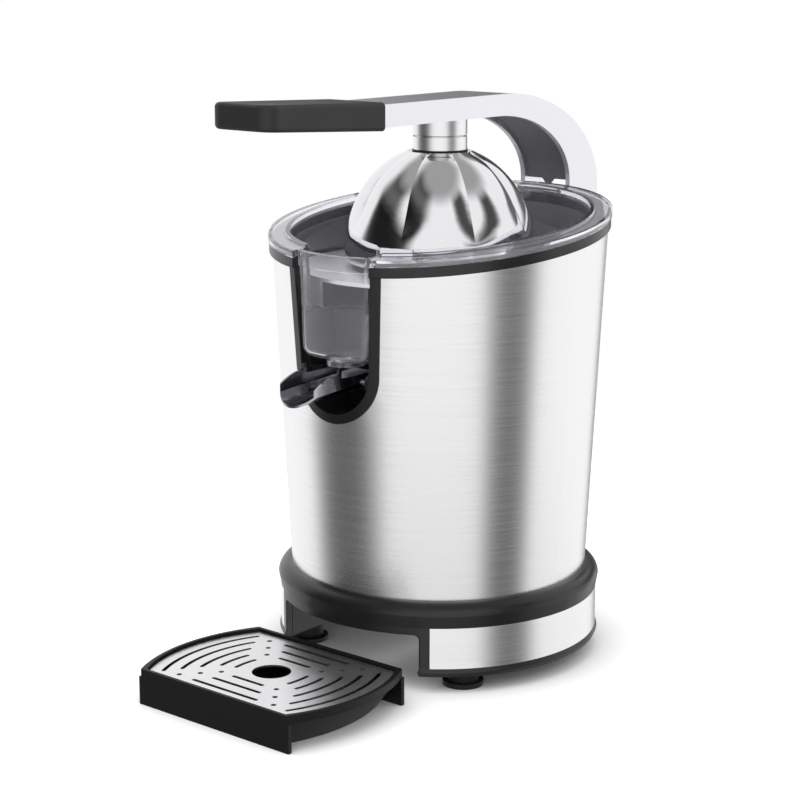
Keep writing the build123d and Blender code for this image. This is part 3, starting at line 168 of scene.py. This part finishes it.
FLAGS = (
    # The dark bands down the left and the right of the shell
    Flag(turn=-75, half=23, soft=16, foot=(-1.0, -0.99), top=(0.45, 0.75), level=0.13),
    Flag(turn=51, half=11, soft=14, foot=(-1.0, -0.99), top=(0.2, 0.4), level=0.15),
    # The far edge of the shell, and the flat tops of the arm and the drip grid
    Flag(turn=168, half=14, soft=8, foot=(-1.0, -0.99), top=(0.0, 0.1), level=0.3),
    Flag(turn=150, half=25, soft=10, foot=(0.0, 0.06), top=(0.25, 0.35), level=0.15),
    # The dome's dark lobe on the left, below and above
    Flag(turn=-74, half=34, soft=10, foot=(-0.1, 0.0), top=(0.5, 0.65), level=0.12),
    Flag(turn=-75, half=38, soft=20, foot=(0.4, 0.6), top=(0.82, 0.95), level=0.15),
    # The stripe on the dome's right, and its right edge
    Flag(turn=62, half=15, soft=12, foot=(0.25, 0.4), top=(0.7, 0.88), level=0.08),
    Flag(turn=167, half=10, soft=8, foot=(0.3, 0.4), top=(0.65, 0.85), level=0.12),
)
# Straight below, reflections meet the press's own shadow, and straight above a dark ceiling
SHADOW_BELOW = {"From Min": -0.52, "From Max": -0.33, "To Min": 0.5, "To Max": 1.0}
CEILING_ABOVE = {"From Min": 0.7, "From Max": 0.92, "To Min": 1.0, "To Max": 0.4}

# Nearly all values of a plain noise and of the stretched brush noise lie in these ranges
NOISE_SPAN = {"From Min": 0.3, "From Max": 0.7}
BRUSH_SPAN = {"From Min": 0.25, "From Max": 0.75}
# How open a crevice is where its painted shade is darkest and where the painted shade ends
CREVICE_SHADE_SPAN = {"From Min": 0.5, "From Max": 0.85}
# How open the floor is where its contact shadow is darkest
CONTACT_DARK = 0.15
# A brush line is this many times longer than wide
BRUSH_STRETCH = 90
# A wave texture has a band for each full turn of this many times its coordinate
WAVE_TURN = 20
OCCLUSION_SAMPLES = 8
BEVEL_SAMPLES = 4
SENSOR_WIDTH = 36.0
CAMERA_REACH = 100.0


def add_node(tree, kind, settings=None, values=None, links=None):
    """Adds a node with its settings, input values and input links."""
    node = tree.nodes.new(kind)
    for key, value in (settings or {}).items():
        setattr(node, key, value)
    for key, value in (values or {}).items():
        node.inputs[key].default_value = value
    for key, socket in (links or {}).items():
        tree.links.new(socket, node.inputs[key])
    return node


def new_material(name):
    """An empty node material."""
    material = bpy.data.materials.new(name)
    material.use_nodes = True
    material.node_tree.nodes.clear()
    return material, material.node_tree


def brushed_steel(name, colour, surfaces, run, roughness, streak, depth=1.0, crevice_shade=0.0):
    """Stainless brushed with a belt: fine streaks spread the highlight; painted shade darkens crevices."""
    material, tree = new_material(name)
    coords = add_node(tree, "ShaderNodeTexCoord")
    across = 1 / surfaces.brush_spacing
    along = across / BRUSH_STRETCH
    scales = {"round": (along, along, across), "x": (along, across, along)}
    mapping = add_node(tree, "ShaderNodeMapping", values={"Scale": scales[run]},
                       links={"Vector": coords.outputs["Object"]})
    lines = add_node(tree, "ShaderNodeTexNoise", values={"Scale": 1.0, "Detail": 4.0, "Roughness": 0.7},
                     links={"Vector": mapping.outputs["Vector"]})
    tint = add_node(tree, "ShaderNodeMix", settings={"data_type": "RGBA"},
                    values={"A": rgba(shade(colour, 1 - streak)), "B": rgba(colour)},
                    links={"Factor": lines.outputs["Fac"]})
    rough = add_node(tree, "ShaderNodeMapRange",
                     values={**BRUSH_SPAN, **around(roughness, below=0.25 * depth, above=0.3 * depth)},
                     links={"Value": lines.outputs["Fac"]})
    groove = surfaces.brush_spacing / 10
    bump = add_node(tree, "ShaderNodeBump", values={"Strength": 0.06 * depth, "Distance": groove},
                    links={"Height": lines.outputs["Fac"]})
    face = tint
    if crevice_shade:
        # Painted shade: the colour darkens toward black where ambient occlusion finds a crevice
        painted_shade = shade(colour, 0.1)
        open_air = add_node(tree, "ShaderNodeAmbientOcclusion", values={"Distance": crevice_shade},
                            settings={"samples": OCCLUSION_SAMPLES, "only_local": True})
        unshaded = add_node(tree, "ShaderNodeMapRange", values=CREVICE_SHADE_SPAN,
                         links={"Value": open_air.outputs["AO"]})
        face = add_node(tree, "ShaderNodeMix", settings={"data_type": "RGBA"}, values={"A": rgba(painted_shade)},
                        links={"Factor": unshaded.outputs["Result"], "B": tint.outputs["Result"]})
    surface = add_node(tree, "ShaderNodeBsdfPrincipled", values={"Metallic": 1.0},
                       links={"Base Color": face.outputs["Result"], "Roughness": rough.outputs["Result"],
                              "Normal": bump.outputs["Normal"]})
    add_node(tree, "ShaderNodeOutputMaterial", links={"Surface": surface.outputs["BSDF"]})
    return material


def polished_steel(name, colour, surfaces, roughness):
    """Polished stainless: a mirror with faint wiping haze."""
    material, tree = new_material(name)
    coords = add_node(tree, "ShaderNodeTexCoord")
    haze = add_node(tree, "ShaderNodeTexNoise", values={"Scale": 1 / surfaces.wipe_width, "Detail": 3.0},
                    links={"Vector": coords.outputs["Object"]})
    rough = add_node(tree, "ShaderNodeMapRange",
                     values={**NOISE_SPAN, **around(roughness, below=0.15, above=0.2)},
                     links={"Value": haze.outputs["Fac"]})
    wiped = shade(colour, 0.95)
    tint = add_node(tree, "ShaderNodeMix", settings={"data_type": "RGBA"},
                    values={"A": rgba(wiped), "B": rgba(colour)}, links={"Factor": haze.outputs["Fac"]})
    surface = add_node(tree, "ShaderNodeBsdfPrincipled", values={"Metallic": 1.0},
                       links={"Base Color": tint.outputs["Result"], "Roughness": rough.outputs["Result"]})
    add_node(tree, "ShaderNodeOutputMaterial", links={"Surface": surface.outputs["BSDF"]})
    return material


def satin_metal(name, colour, surfaces, roughness):
    """Cast, plated or sintered metal: a fine even grain and soft, wide highlights."""
    material, tree = new_material(name)
    coords = add_node(tree, "ShaderNodeTexCoord")
    grain = surfaces.casting_grain
    speckle = add_node(tree, "ShaderNodeTexNoise", values={"Scale": 1 / grain, "Detail": 2.0},
                       links={"Vector": coords.outputs["Object"]})
    pitted = shade(colour, 0.93)
    tint = add_node(tree, "ShaderNodeMix", settings={"data_type": "RGBA"},
                    values={"A": rgba(pitted), "B": rgba(colour)}, links={"Factor": speckle.outputs["Fac"]})
    rough = add_node(tree, "ShaderNodeMapRange",
                     values={**NOISE_SPAN, **around(roughness, below=0.15, above=0.2)},
                     links={"Value": speckle.outputs["Fac"]})
    pit_depth = grain * 0.15
    bump = add_node(tree, "ShaderNodeBump", values={"Strength": 0.08, "Distance": pit_depth},
                    links={"Height": speckle.outputs["Fac"]})
    surface = add_node(tree, "ShaderNodeBsdfPrincipled", values={"Metallic": 1.0},
                       links={"Base Color": tint.outputs["Result"], "Roughness": rough.outputs["Result"],
                              "Normal": bump.outputs["Normal"]})
    add_node(tree, "ShaderNodeOutputMaterial", links={"Surface": surface.outputs["BSDF"]})
    return material


def moulded_plastic(name, colour, surfaces, roughness, gloss=0.5, edge_share=1.0):
    """Injection-moulded plastic: a fine spark-eroded grain, paler where handling has polished it."""
    material, tree = new_material(name)
    coords = add_node(tree, "ShaderNodeTexCoord")
    grain = surfaces.moulding_grain
    fine = add_node(tree, "ShaderNodeTexNoise", values={"Scale": 1 / grain, "Detail": 2.0},
                    links={"Vector": coords.outputs["Object"]})
    broad = add_node(tree, "ShaderNodeTexNoise", values={"Scale": 1 / surfaces.cloud_width, "Detail": 3.0},
                     links={"Vector": coords.outputs["Object"]})
    fresh, handled = shade(colour, 0.85), shade(colour, 1.12)
    tint = add_node(tree, "ShaderNodeMix", settings={"data_type": "RGBA"},
                    values={"A": rgba(fresh), "B": rgba(handled)}, links={"Factor": broad.outputs["Fac"]})
    rough = add_node(tree, "ShaderNodeMapRange",
                     values={**NOISE_SPAN, **around(roughness, below=0.15, above=0.15)},
                     links={"Value": broad.outputs["Fac"]})
    rounded = add_node(tree, "ShaderNodeBevel", settings={"samples": BEVEL_SAMPLES},
                       values={"Radius": surfaces.edge_round * edge_share})
    grain_depth = grain * 0.12
    bump = add_node(tree, "ShaderNodeBump", values={"Strength": 0.15, "Distance": grain_depth},
                    links={"Height": fine.outputs["Fac"], "Normal": rounded.outputs["Normal"]})
    surface = add_node(tree, "ShaderNodeBsdfPrincipled", values={"Specular IOR Level": gloss},
                       links={"Base Color": tint.outputs["Result"], "Roughness": rough.outputs["Result"],
                              "Normal": bump.outputs["Normal"]})
    add_node(tree, "ShaderNodeOutputMaterial", links={"Surface": surface.outputs["BSDF"]})
    return material


def clear_plastic(name, colour, surfaces):
    """Clear moulded styrene: glassy, with a breath of haze from the mould."""
    material, tree = new_material(name)
    coords = add_node(tree, "ShaderNodeTexCoord")
    haze = add_node(tree, "ShaderNodeTexNoise", values={"Scale": 1 / surfaces.mould_haze, "Detail": 2.0},
                    links={"Vector": coords.outputs["Object"]})
    rough = add_node(tree, "ShaderNodeMapRange", values={**NOISE_SPAN, "To Min": 0.01, "To Max": 0.05},
                     links={"Value": haze.outputs["Fac"]})
    surface = add_node(tree, "ShaderNodeBsdfPrincipled",
                       values={"Base Color": rgba(colour), "Transmission Weight": 0.965, "IOR": 1.5},
                       links={"Roughness": rough.outputs["Result"]})
    add_node(tree, "ShaderNodeOutputMaterial", links={"Surface": surface.outputs["BSDF"]})
    return material


def laminated_core(name, colour, surfaces):
    """Stacked electrical steel: thin sheets seen edge on."""
    material, tree = new_material(name)
    coords = add_node(tree, "ShaderNodeTexCoord")
    mapping = add_node(tree, "ShaderNodeMapping", values={"Scale": (0.0, 0.0, 1.0)},
                       links={"Vector": coords.outputs["Object"]})
    bands = 2 * math.pi / WAVE_TURN / surfaces.sheet_pitch
    sheets = add_node(tree, "ShaderNodeTexWave", settings={"bands_direction": "Z"},
                      values={"Scale": bands, "Distortion": 0.2},
                      links={"Vector": mapping.outputs["Vector"]})
    seam = shade(colour, 0.6)
    tint = add_node(tree, "ShaderNodeMix", settings={"data_type": "RGBA"},
                    values={"A": rgba(seam), "B": rgba(colour)}, links={"Factor": sheets.outputs["Fac"]})
    surface = add_node(tree, "ShaderNodeBsdfPrincipled", values={"Metallic": 1.0, "Roughness": 0.5},
                       links={"Base Color": tint.outputs["Result"]})
    add_node(tree, "ShaderNodeOutputMaterial", links={"Surface": surface.outputs["BSDF"]})
    return material


def finish(material, *names):
    """Gives CAD nodes a material."""
    for name in names:
        slots = nodes[name].data.materials
        slots.clear()
        slots.append(material)


class PRESS_OT_body_finishes(Operator):
    """Finish the steel body, its black rim and the base"""
    bl_idname = "press.body_finishes"
    bl_label = "Body and base"

    def execute(self, context):
        colours, surfaces = context.scene.press_colours, context.scene.press_surfaces
        # Sheet brushed round the body, with soft upright bands of light
        steel = brushed_steel("Brushed stainless sheet", colours.sheet_steel, surfaces, run="round",
                              roughness=0.25, streak=0.05, depth=0.75)
        finish(steel, "housing_shell", "base_band")
        # Half-gloss black with broad, soft streaks of light
        black = moulded_plastic("Moulded black ABS", colours.black_plastic, surfaces, roughness=0.3)
        finish(black, "base_skirt", "rim_trim", "spout_recess", "tray_bay", "base_plate")
        # Dull black without clear reflections
        rubber = moulded_plastic("Moulded rubber", colours.rubber, surfaces, roughness=0.7)
        finish(rubber, "rubber_feet", "cord_gland", "neck_ring", "dome_ring", "shaft_seal")
        # Bright plating with a faint grain
        screws = satin_metal("Plated screws", colours.sheet_steel, surfaces, roughness=0.3)
        finish(screws, "base_screws", "gearbox_screws", "motor_screws", "hinge_screws", "grip_screws",
               "neck_bolt", "hinge_pin", "hinge_backing", "return_spring", "drive_shaft", "motor_shaft",
               "idler_axle")
        return {"FINISHED"}


class PRESS_OT_juice_finishes(Operator):
    """Finish the collector, its seat, the strainer, cone and spout"""
    bl_idname = "press.juice_finishes"
    bl_label = "Juice path"

    def execute(self, context):
        colours, surfaces = context.scene.press_colours, context.scene.press_surfaces
        finish(clear_plastic("Clear styrene", colours.clear, surfaces), "clear_collector")
        # Clear walls let the lamps through to the bowl
        nodes["clear_collector"].visible_shadow = False
        # Grey with a soft sheen, seen through the clear bowl; its grey is raised as painted light for the
        # light the bowl lets in
        seat = moulded_plastic("Moulded seat ABS", colours.seat, surfaces, roughness=0.35)
        finish(seat, "bowl_seat")
        # Bright sheet, brushed one way
        punched = brushed_steel("Punched stainless", colours.grid_steel, surfaces, run="x",
                                roughness=0.4, streak=0.08)
        finish(punched, "strainer")
        # Black with sharp highlights on its ribs
        cone = moulded_plastic("Gloss black ABS", colours.black_plastic, surfaces, roughness=0.22)
        finish(cone, "reamer_cone")
        # A mirror darker than the dome's, with painted shade in its colour for its dark reflections, that
        # blurs what it shows
        spout = polished_steel("Polished spout steel", colours.spout_steel, surfaces, roughness=0.14)
        finish(spout, "spout")
        return {"FINISHED"}


class PRESS_OT_lever_finishes(Operator):
    """Finish the lever arm, its grip, the neck and the dome"""
    bl_idname = "press.lever_finishes"
    bl_label = "Lever and dome"

    def execute(self, context):
        colours, surfaces = context.scene.press_colours, context.scene.press_surfaces
        # Pale satin that stays even from edge to edge
        casting = satin_metal("Satin cast aluminium", colours.casting, surfaces, roughness=0.34)
        finish(casting, "lever_arm", "hinge_bracket", "motor_end_cap")
        # Grey with little gloss, in the shade of the arch
        liner = moulded_plastic("Moulded liner ABS", colours.liner, surfaces, roughness=0.45, gloss=0.3)
        finish(liner, "arm_liner")
        # Near black and matt, with a soft gleam on its rounded edges
        soft = moulded_plastic("Soft-touch elastomer", colours.grip, surfaces, roughness=0.55)
        finish(soft, "grip")
        # The polished dome is lit as in a studio still, without the lever's mirror image in it
        for name in ("lever_arm", "grip", "grip_screws"):
            nodes[name].visible_glossy = False
        dome = polished_steel("Polished stainless", colours.polished_steel, surfaces, roughness=0.05)
        finish(dome, "press_dome")
        # Fine turning marks, with painted shade darkening the groove where the sleeves meet
        turned = brushed_steel("Turned stainless", colours.sheet_steel, surfaces, run="round",
                               roughness=0.33, streak=0.03, depth=0.25, crevice_shade=surfaces.crevice_shade)
        finish(turned, "neck_sleeve", "neck_collar")
        return {"FINISHED"}


class PRESS_OT_tray_finishes(Operator):
    """Finish the drip tray and its grid"""
    bl_idname = "press.tray_finishes"
    bl_label = "Drip tray"

    def execute(self, context):
        colours, surfaces = context.scene.press_colours, context.scene.press_surfaces
        # A deeper, duller black than the base
        deep_black = shade(colours.black_plastic, 0.7)
        black = moulded_plastic("Moulded tray ABS", deep_black, surfaces, roughness=0.45, gloss=0.25)
        finish(black, "drip_tray")
        # Bright sheet, brushed along the tray
        grid = brushed_steel("Brushed grid stainless", colours.grid_steel, surfaces, run="x",
                             roughness=0.32, streak=0.1, depth=0.5)
        finish(grid, "drip_grid")
        return {"FINISHED"}


class PRESS_OT_inner_finishes(Operator):
    """Finish the motor, the gear train and the start switch"""
    bl_idname = "press.inner_finishes"
    bl_label = "Motor and gears"

    def execute(self, context):
        colours, surfaces = context.scene.press_colours, context.scene.press_surfaces
        # Plain grey covers with a soft sheen
        covers = moulded_plastic("Moulded grey ABS", colours.dark_plastic, surfaces, roughness=0.45)
        finish(covers, "gearbox_base", "gearbox_lid", "start_switch", "cooling_fan")
        # Waxy and off white, with crisp edges
        nylon = moulded_plastic("Moulded nylon", colours.nylon, surfaces, roughness=0.45, edge_share=1 / 3)
        finish(nylon, "output_gear", "idler_gear", "thrust_button", "hinge_bushes")
        # Brownish yellow and slightly porous
        bronze = satin_metal("Sintered bronze", colours.bronze, surfaces, roughness=0.4)
        finish(bronze, "shaft_bush", "motor_bushes", "motor_pinion")
        # Pale grey and a little dull
        plated = satin_metal("Zinc-plated steel", colours.sheet_steel, surfaces, roughness=0.38)
        finish(plated, "motor_can")
        core = laminated_core("Laminated core steel", colours.lamination, surfaces)
        finish(core, "motor_stator", "rotor_core")
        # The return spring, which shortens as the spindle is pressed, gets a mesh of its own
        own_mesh(nodes["return_spring"])
        return {"FINISHED"}


def stage_camera(scene, settings):
    """The camera, at the photograph's viewing angle."""
    camera = bpy.data.cameras.new("photo camera")
    camera.sensor_width = SENSOR_WIDTH
    camera.lens = settings.focal_length
    camera.clip_end = CAMERA_REACH
    holder = bpy.data.objects.new("photo camera", camera)
    scene.collection.objects.link(holder)
    turn = Euler((math.pi / 2 - settings.view_elevation, 0.0, settings.view_azimuth))
    backwards = turn.to_matrix() @ Vector((0.0, 0.0, 1.0))
    place = Vector(settings.view_aim) + backwards * settings.view_distance
    holder.matrix_world = Matrix.LocRotScale(place, turn, None)
    scene.camera = holder


def flag_light(tree, flag, view_azimuth, around_press, height):
    """What a flag keeps of the light: 1 beside it and its level on it."""
    angle = view_azimuth + math.radians(flag.turn)
    towards = (math.sin(angle), -math.cos(angle), 0.0)
    facing = add_node(tree, "ShaderNodeVectorMath", settings={"operation": "DOT_PRODUCT"},
                      values={1: towards}, links={0: around_press})
    outer, inner = math.radians(flag.half + flag.soft), math.radians(max(flag.half - flag.soft, 0))
    smooth = {"interpolation_type": "SMOOTHSTEP"}
    sides = add_node(tree, "ShaderNodeMapRange", settings=smooth,
                     values={"From Min": math.cos(outer), "From Max": math.cos(inner)},
                     links={"Value": facing.outputs["Value"]})
    foot = add_node(tree, "ShaderNodeMapRange", settings=smooth,
                    values={"From Min": flag.foot[0], "From Max": flag.foot[1]}, links={"Value": height})
    top = add_node(tree, "ShaderNodeMapRange", settings=smooth,
                   values={"From Min": flag.top[0], "From Max": flag.top[1], "To Min": 1.0, "To Max": 0.0},
                   links={"Value": height})
    upright = add_node(tree, "ShaderNodeMath", settings={"operation": "MULTIPLY"},
                       links={0: foot.outputs["Result"], 1: top.outputs["Result"]})
    mask = add_node(tree, "ShaderNodeMath", settings={"operation": "MULTIPLY"},
                    links={0: upright.outputs["Value"], 1: sides.outputs["Result"]})
    kept = add_node(tree, "ShaderNodeMapRange", values={"To Min": 1.0, "To Max": flag.level},
                    links={"Value": mask.outputs["Value"]})
    return kept.outputs["Result"]


def seen_plainly(tree, path):
    """1 where the camera sees a thing directly or through clear plastic."""
    seen = add_node(tree, "ShaderNodeMath", settings={"operation": "MAXIMUM"},
                    links={0: path.outputs["Is Camera Ray"], 1: path.outputs["Is Transmission Ray"]})
    return seen.outputs["Value"]


def stage_world(scene, settings, white):
    """White surroundings, with dark flags that only reflections see."""
    world = bpy.data.worlds.new("Studio surroundings")
    scene.world = world
    world.use_nodes = True
    tree = world.node_tree
    tree.nodes.clear()
    coords = add_node(tree, "ShaderNodeTexCoord")
    split = add_node(tree, "ShaderNodeSeparateXYZ", links={"Vector": coords.outputs["Generated"]})
    height = split.outputs["Z"]
    sideways = add_node(tree, "ShaderNodeVectorMath", settings={"operation": "MULTIPLY"},
                        values={1: (1.0, 1.0, 0.0)}, links={0: coords.outputs["Generated"]})
    around_press = add_node(tree, "ShaderNodeVectorMath", settings={"operation": "NORMALIZE"},
                            links={0: sideways.outputs["Vector"]}).outputs["Vector"]
    below = add_node(tree, "ShaderNodeMapRange", values=SHADOW_BELOW, links={"Value": height})
    above = add_node(tree, "ShaderNodeMapRange", settings={"interpolation_type": "SMOOTHSTEP"},
                     values=CEILING_ABOVE, links={"Value": height})
    flags = [flag_light(tree, flag, settings.view_azimuth, around_press, height) for flag in FLAGS]
    light = below.outputs["Result"]
    for other in [above.outputs["Result"], *flags]:
        light = add_node(tree, "ShaderNodeMath", settings={"operation": "MULTIPLY"},
                         links={0: light, 1: other}).outputs["Value"]
    path = add_node(tree, "ShaderNodeLightPath")
    mirror = add_node(tree, "ShaderNodeBackground", values={"Color": white}, links={"Strength": light})
    ambient = add_node(tree, "ShaderNodeBackground", values={"Color": white, "Strength": settings.ambient})
    plain = add_node(tree, "ShaderNodeBackground", values={"Color": white, "Strength": 1.0})
    unseen = add_node(tree, "ShaderNodeMixShader",
                      links={0: path.outputs["Is Glossy Ray"], 1: ambient.outputs["Background"],
                             2: mirror.outputs["Background"]})
    whole = add_node(tree, "ShaderNodeMixShader",
                     links={0: seen_plainly(tree, path), 1: unseen.outputs["Shader"],
                            2: plain.outputs["Background"]})
    add_node(tree, "ShaderNodeOutputWorld", links={"Surface": whole.outputs["Shader"]})


def floor_paint(settings, paint_colour, white):
    """Pale matt floor paint: it keeps the press's shadow and is white further off."""
    material, tree = new_material("Pale studio floor")
    path = add_node(tree, "ShaderNodeLightPath")
    coords = add_node(tree, "ShaderNodeTexCoord")
    away = add_node(tree, "ShaderNodeVectorMath", settings={"operation": "LENGTH"},
                    links={0: coords.outputs["Object"]})
    far = add_node(tree, "ShaderNodeMapRange", settings={"interpolation_type": "SMOOTHSTEP"},
                   values={"From Min": settings.shadow_start, "From Max": settings.shadow_reach},
                   links={"Value": away.outputs["Value"]})
    paint = add_node(tree, "ShaderNodeBsdfDiffuse", values={"Color": paint_colour})
    open_sky = add_node(tree, "ShaderNodeAmbientOcclusion", settings={"samples": OCCLUSION_SAMPLES},
                        values={"Distance": settings.contact_reach})
    fade = add_node(tree, "ShaderNodeMapRange",
                    values={"From Min": CONTACT_DARK, "To Min": 0.0, "To Max": settings.floor_glow},
                    links={"Value": open_sky.outputs["AO"]})
    glow = add_node(tree, "ShaderNodeEmission", values={"Color": white},
                    links={"Strength": fade.outputs["Result"]})
    lit = add_node(tree, "ShaderNodeAddShader",
                   links={0: paint.outputs["BSDF"], 1: glow.outputs["Emission"]})
    plain = add_node(tree, "ShaderNodeEmission", values={"Color": white, "Strength": 1.0})
    ground = add_node(tree, "ShaderNodeMixShader",
                      links={0: far.outputs["Result"], 1: lit.outputs["Shader"],
                             2: plain.outputs["Emission"]})
    whole = add_node(tree, "ShaderNodeMixShader",
                     links={0: seen_plainly(tree, path), 1: paint.outputs["BSDF"],
                            2: ground.outputs["Shader"]})
    add_node(tree, "ShaderNodeOutputMaterial", links={"Surface": whole.outputs["Shader"]})
    return material


def stage_floor(scene, settings, paint_colour, white):
    """A square floor that reflections don't see."""
    mesh = bpy.data.meshes.new("floor")
    shape = bmesh.new()
    bmesh.ops.create_grid(shape, x_segments=1, y_segments=1, size=settings.floor_width / 2)
    shape.to_mesh(mesh)
    shape.free()
    floor = bpy.data.objects.new("floor", mesh)
    scene.collection.objects.link(floor)
    mesh.materials.append(floor_paint(settings, paint_colour, white))
    floor.visible_glossy = False


def stage_card(scene, name, white, turn, distance, low, high, width, level):
    """An upright card that only reflections see, at a turn in degrees from straight in front."""
    angle = math.radians(turn)
    middle = Vector((math.sin(angle), -math.cos(angle), 0.0)) * distance
    side = Vector((math.cos(angle), math.sin(angle), 0.0)) * width / 2
    foot, top = Vector((0.0, 0.0, low)), Vector((0.0, 0.0, high))
    corners = (middle - side + foot, middle + side + foot, middle + side + top, middle - side + top)
    mesh = bpy.data.meshes.new(name)
    shape = bmesh.new()
    shape.faces.new([shape.verts.new(corner) for corner in corners])
    shape.to_mesh(mesh)
    shape.free()
    card = bpy.data.objects.new(name, mesh)
    scene.collection.objects.link(card)
    material, tree = new_material(name)
    glow = add_node(tree, "ShaderNodeEmission", values={"Color": white, "Strength": level})
    add_node(tree, "ShaderNodeOutputMaterial", links={"Surface": glow.outputs["Emission"]})
    mesh.materials.append(material)
    for kind in ("visible_camera", "visible_diffuse", "visible_transmission", "visible_shadow"):
        setattr(card, kind, False)


def stage_lamp(scene, name, place, aim, width, power):
    """A large soft lamp aimed at the press."""
    lamp = bpy.data.lights.new(name, "AREA")
    lamp.shape = "DISK"
    lamp.size = width
    lamp.energy = power
    holder = bpy.data.objects.new(name, lamp)
    scene.collection.objects.link(holder)
    holder.location = place
    sight = Vector(aim) - Vector(place)
    holder.rotation_euler = sight.to_track_quat("-Z", "Y").to_euler()
    holder.visible_glossy = False


class PRESS_OT_stage(Operator):
    """Set the camera, the floor and the light"""
    bl_idname = "press.stage"
    bl_label = "Stage"

    def execute(self, context):
        scene, settings, colours = context.scene, context.scene.press_stage, context.scene.press_colours
        white = rgba(colours.background)
        stage_camera(scene, settings)
        stage_world(scene, settings, white)
        stage_floor(scene, settings, rgba(colours.floor), white)
        stage_card(scene, "dark card", white, turn=217.5, distance=1.0, low=0.42, high=1.1, width=0.26,
                   level=0.03)
        stage_lamp(scene, "key lamp", settings.key_place, settings.lamp_aim, settings.key_width,
                   settings.key_power)
        stage_lamp(scene, "fill lamp", settings.fill_place, settings.lamp_aim, settings.fill_width,
                   settings.fill_power)
        scene.view_settings.view_transform = "Standard"
        return {"FINISHED"}


class PRESS_PT_panel(Panel):
    """The steps that dress the press."""
    bl_idname = "PRESS_PT_panel"
    bl_label = "Citrus press"
    bl_space_type = "VIEW_3D"
    bl_region_type = "UI"
    bl_category = "Citrus press"

    def draw(self, context):
        for step in STEPS:
            self.layout.operator(step.bl_idname)


STEPS = (
    PRESS_OT_stage,
    PRESS_OT_body_finishes,
    PRESS_OT_juice_finishes,
    PRESS_OT_lever_finishes,
    PRESS_OT_tray_finishes,
    PRESS_OT_inner_finishes,
)
GROUPS = {"press_colours": PressColours, "press_surfaces": PressSurfaces, "press_stage": PressStage}


def register():
    for group in GROUPS.values():
        bpy.utils.register_class(group)
    for step in STEPS:
        bpy.utils.register_class(step)
    bpy.utils.register_class(PRESS_PT_panel)
    for name, group in GROUPS.items():
        setattr(bpy.types.Scene, name, PointerProperty(type=group))


def unregister():
    for name in GROUPS:
        delattr(bpy.types.Scene, name)
    bpy.utils.unregister_class(PRESS_PT_panel)
    for step in reversed(STEPS):
        bpy.utils.unregister_class(step)
    for group in reversed(GROUPS.values()):
        bpy.utils.unregister_class(group)


def main():
    register()
    bpy.ops.press.stage()
    bpy.ops.press.body_finishes()
    bpy.ops.press.juice_finishes()
    bpy.ops.press.lever_finishes()
    bpy.ops.press.tray_finishes()
    bpy.ops.press.inner_finishes()


if __name__ == "__main__":
    main()
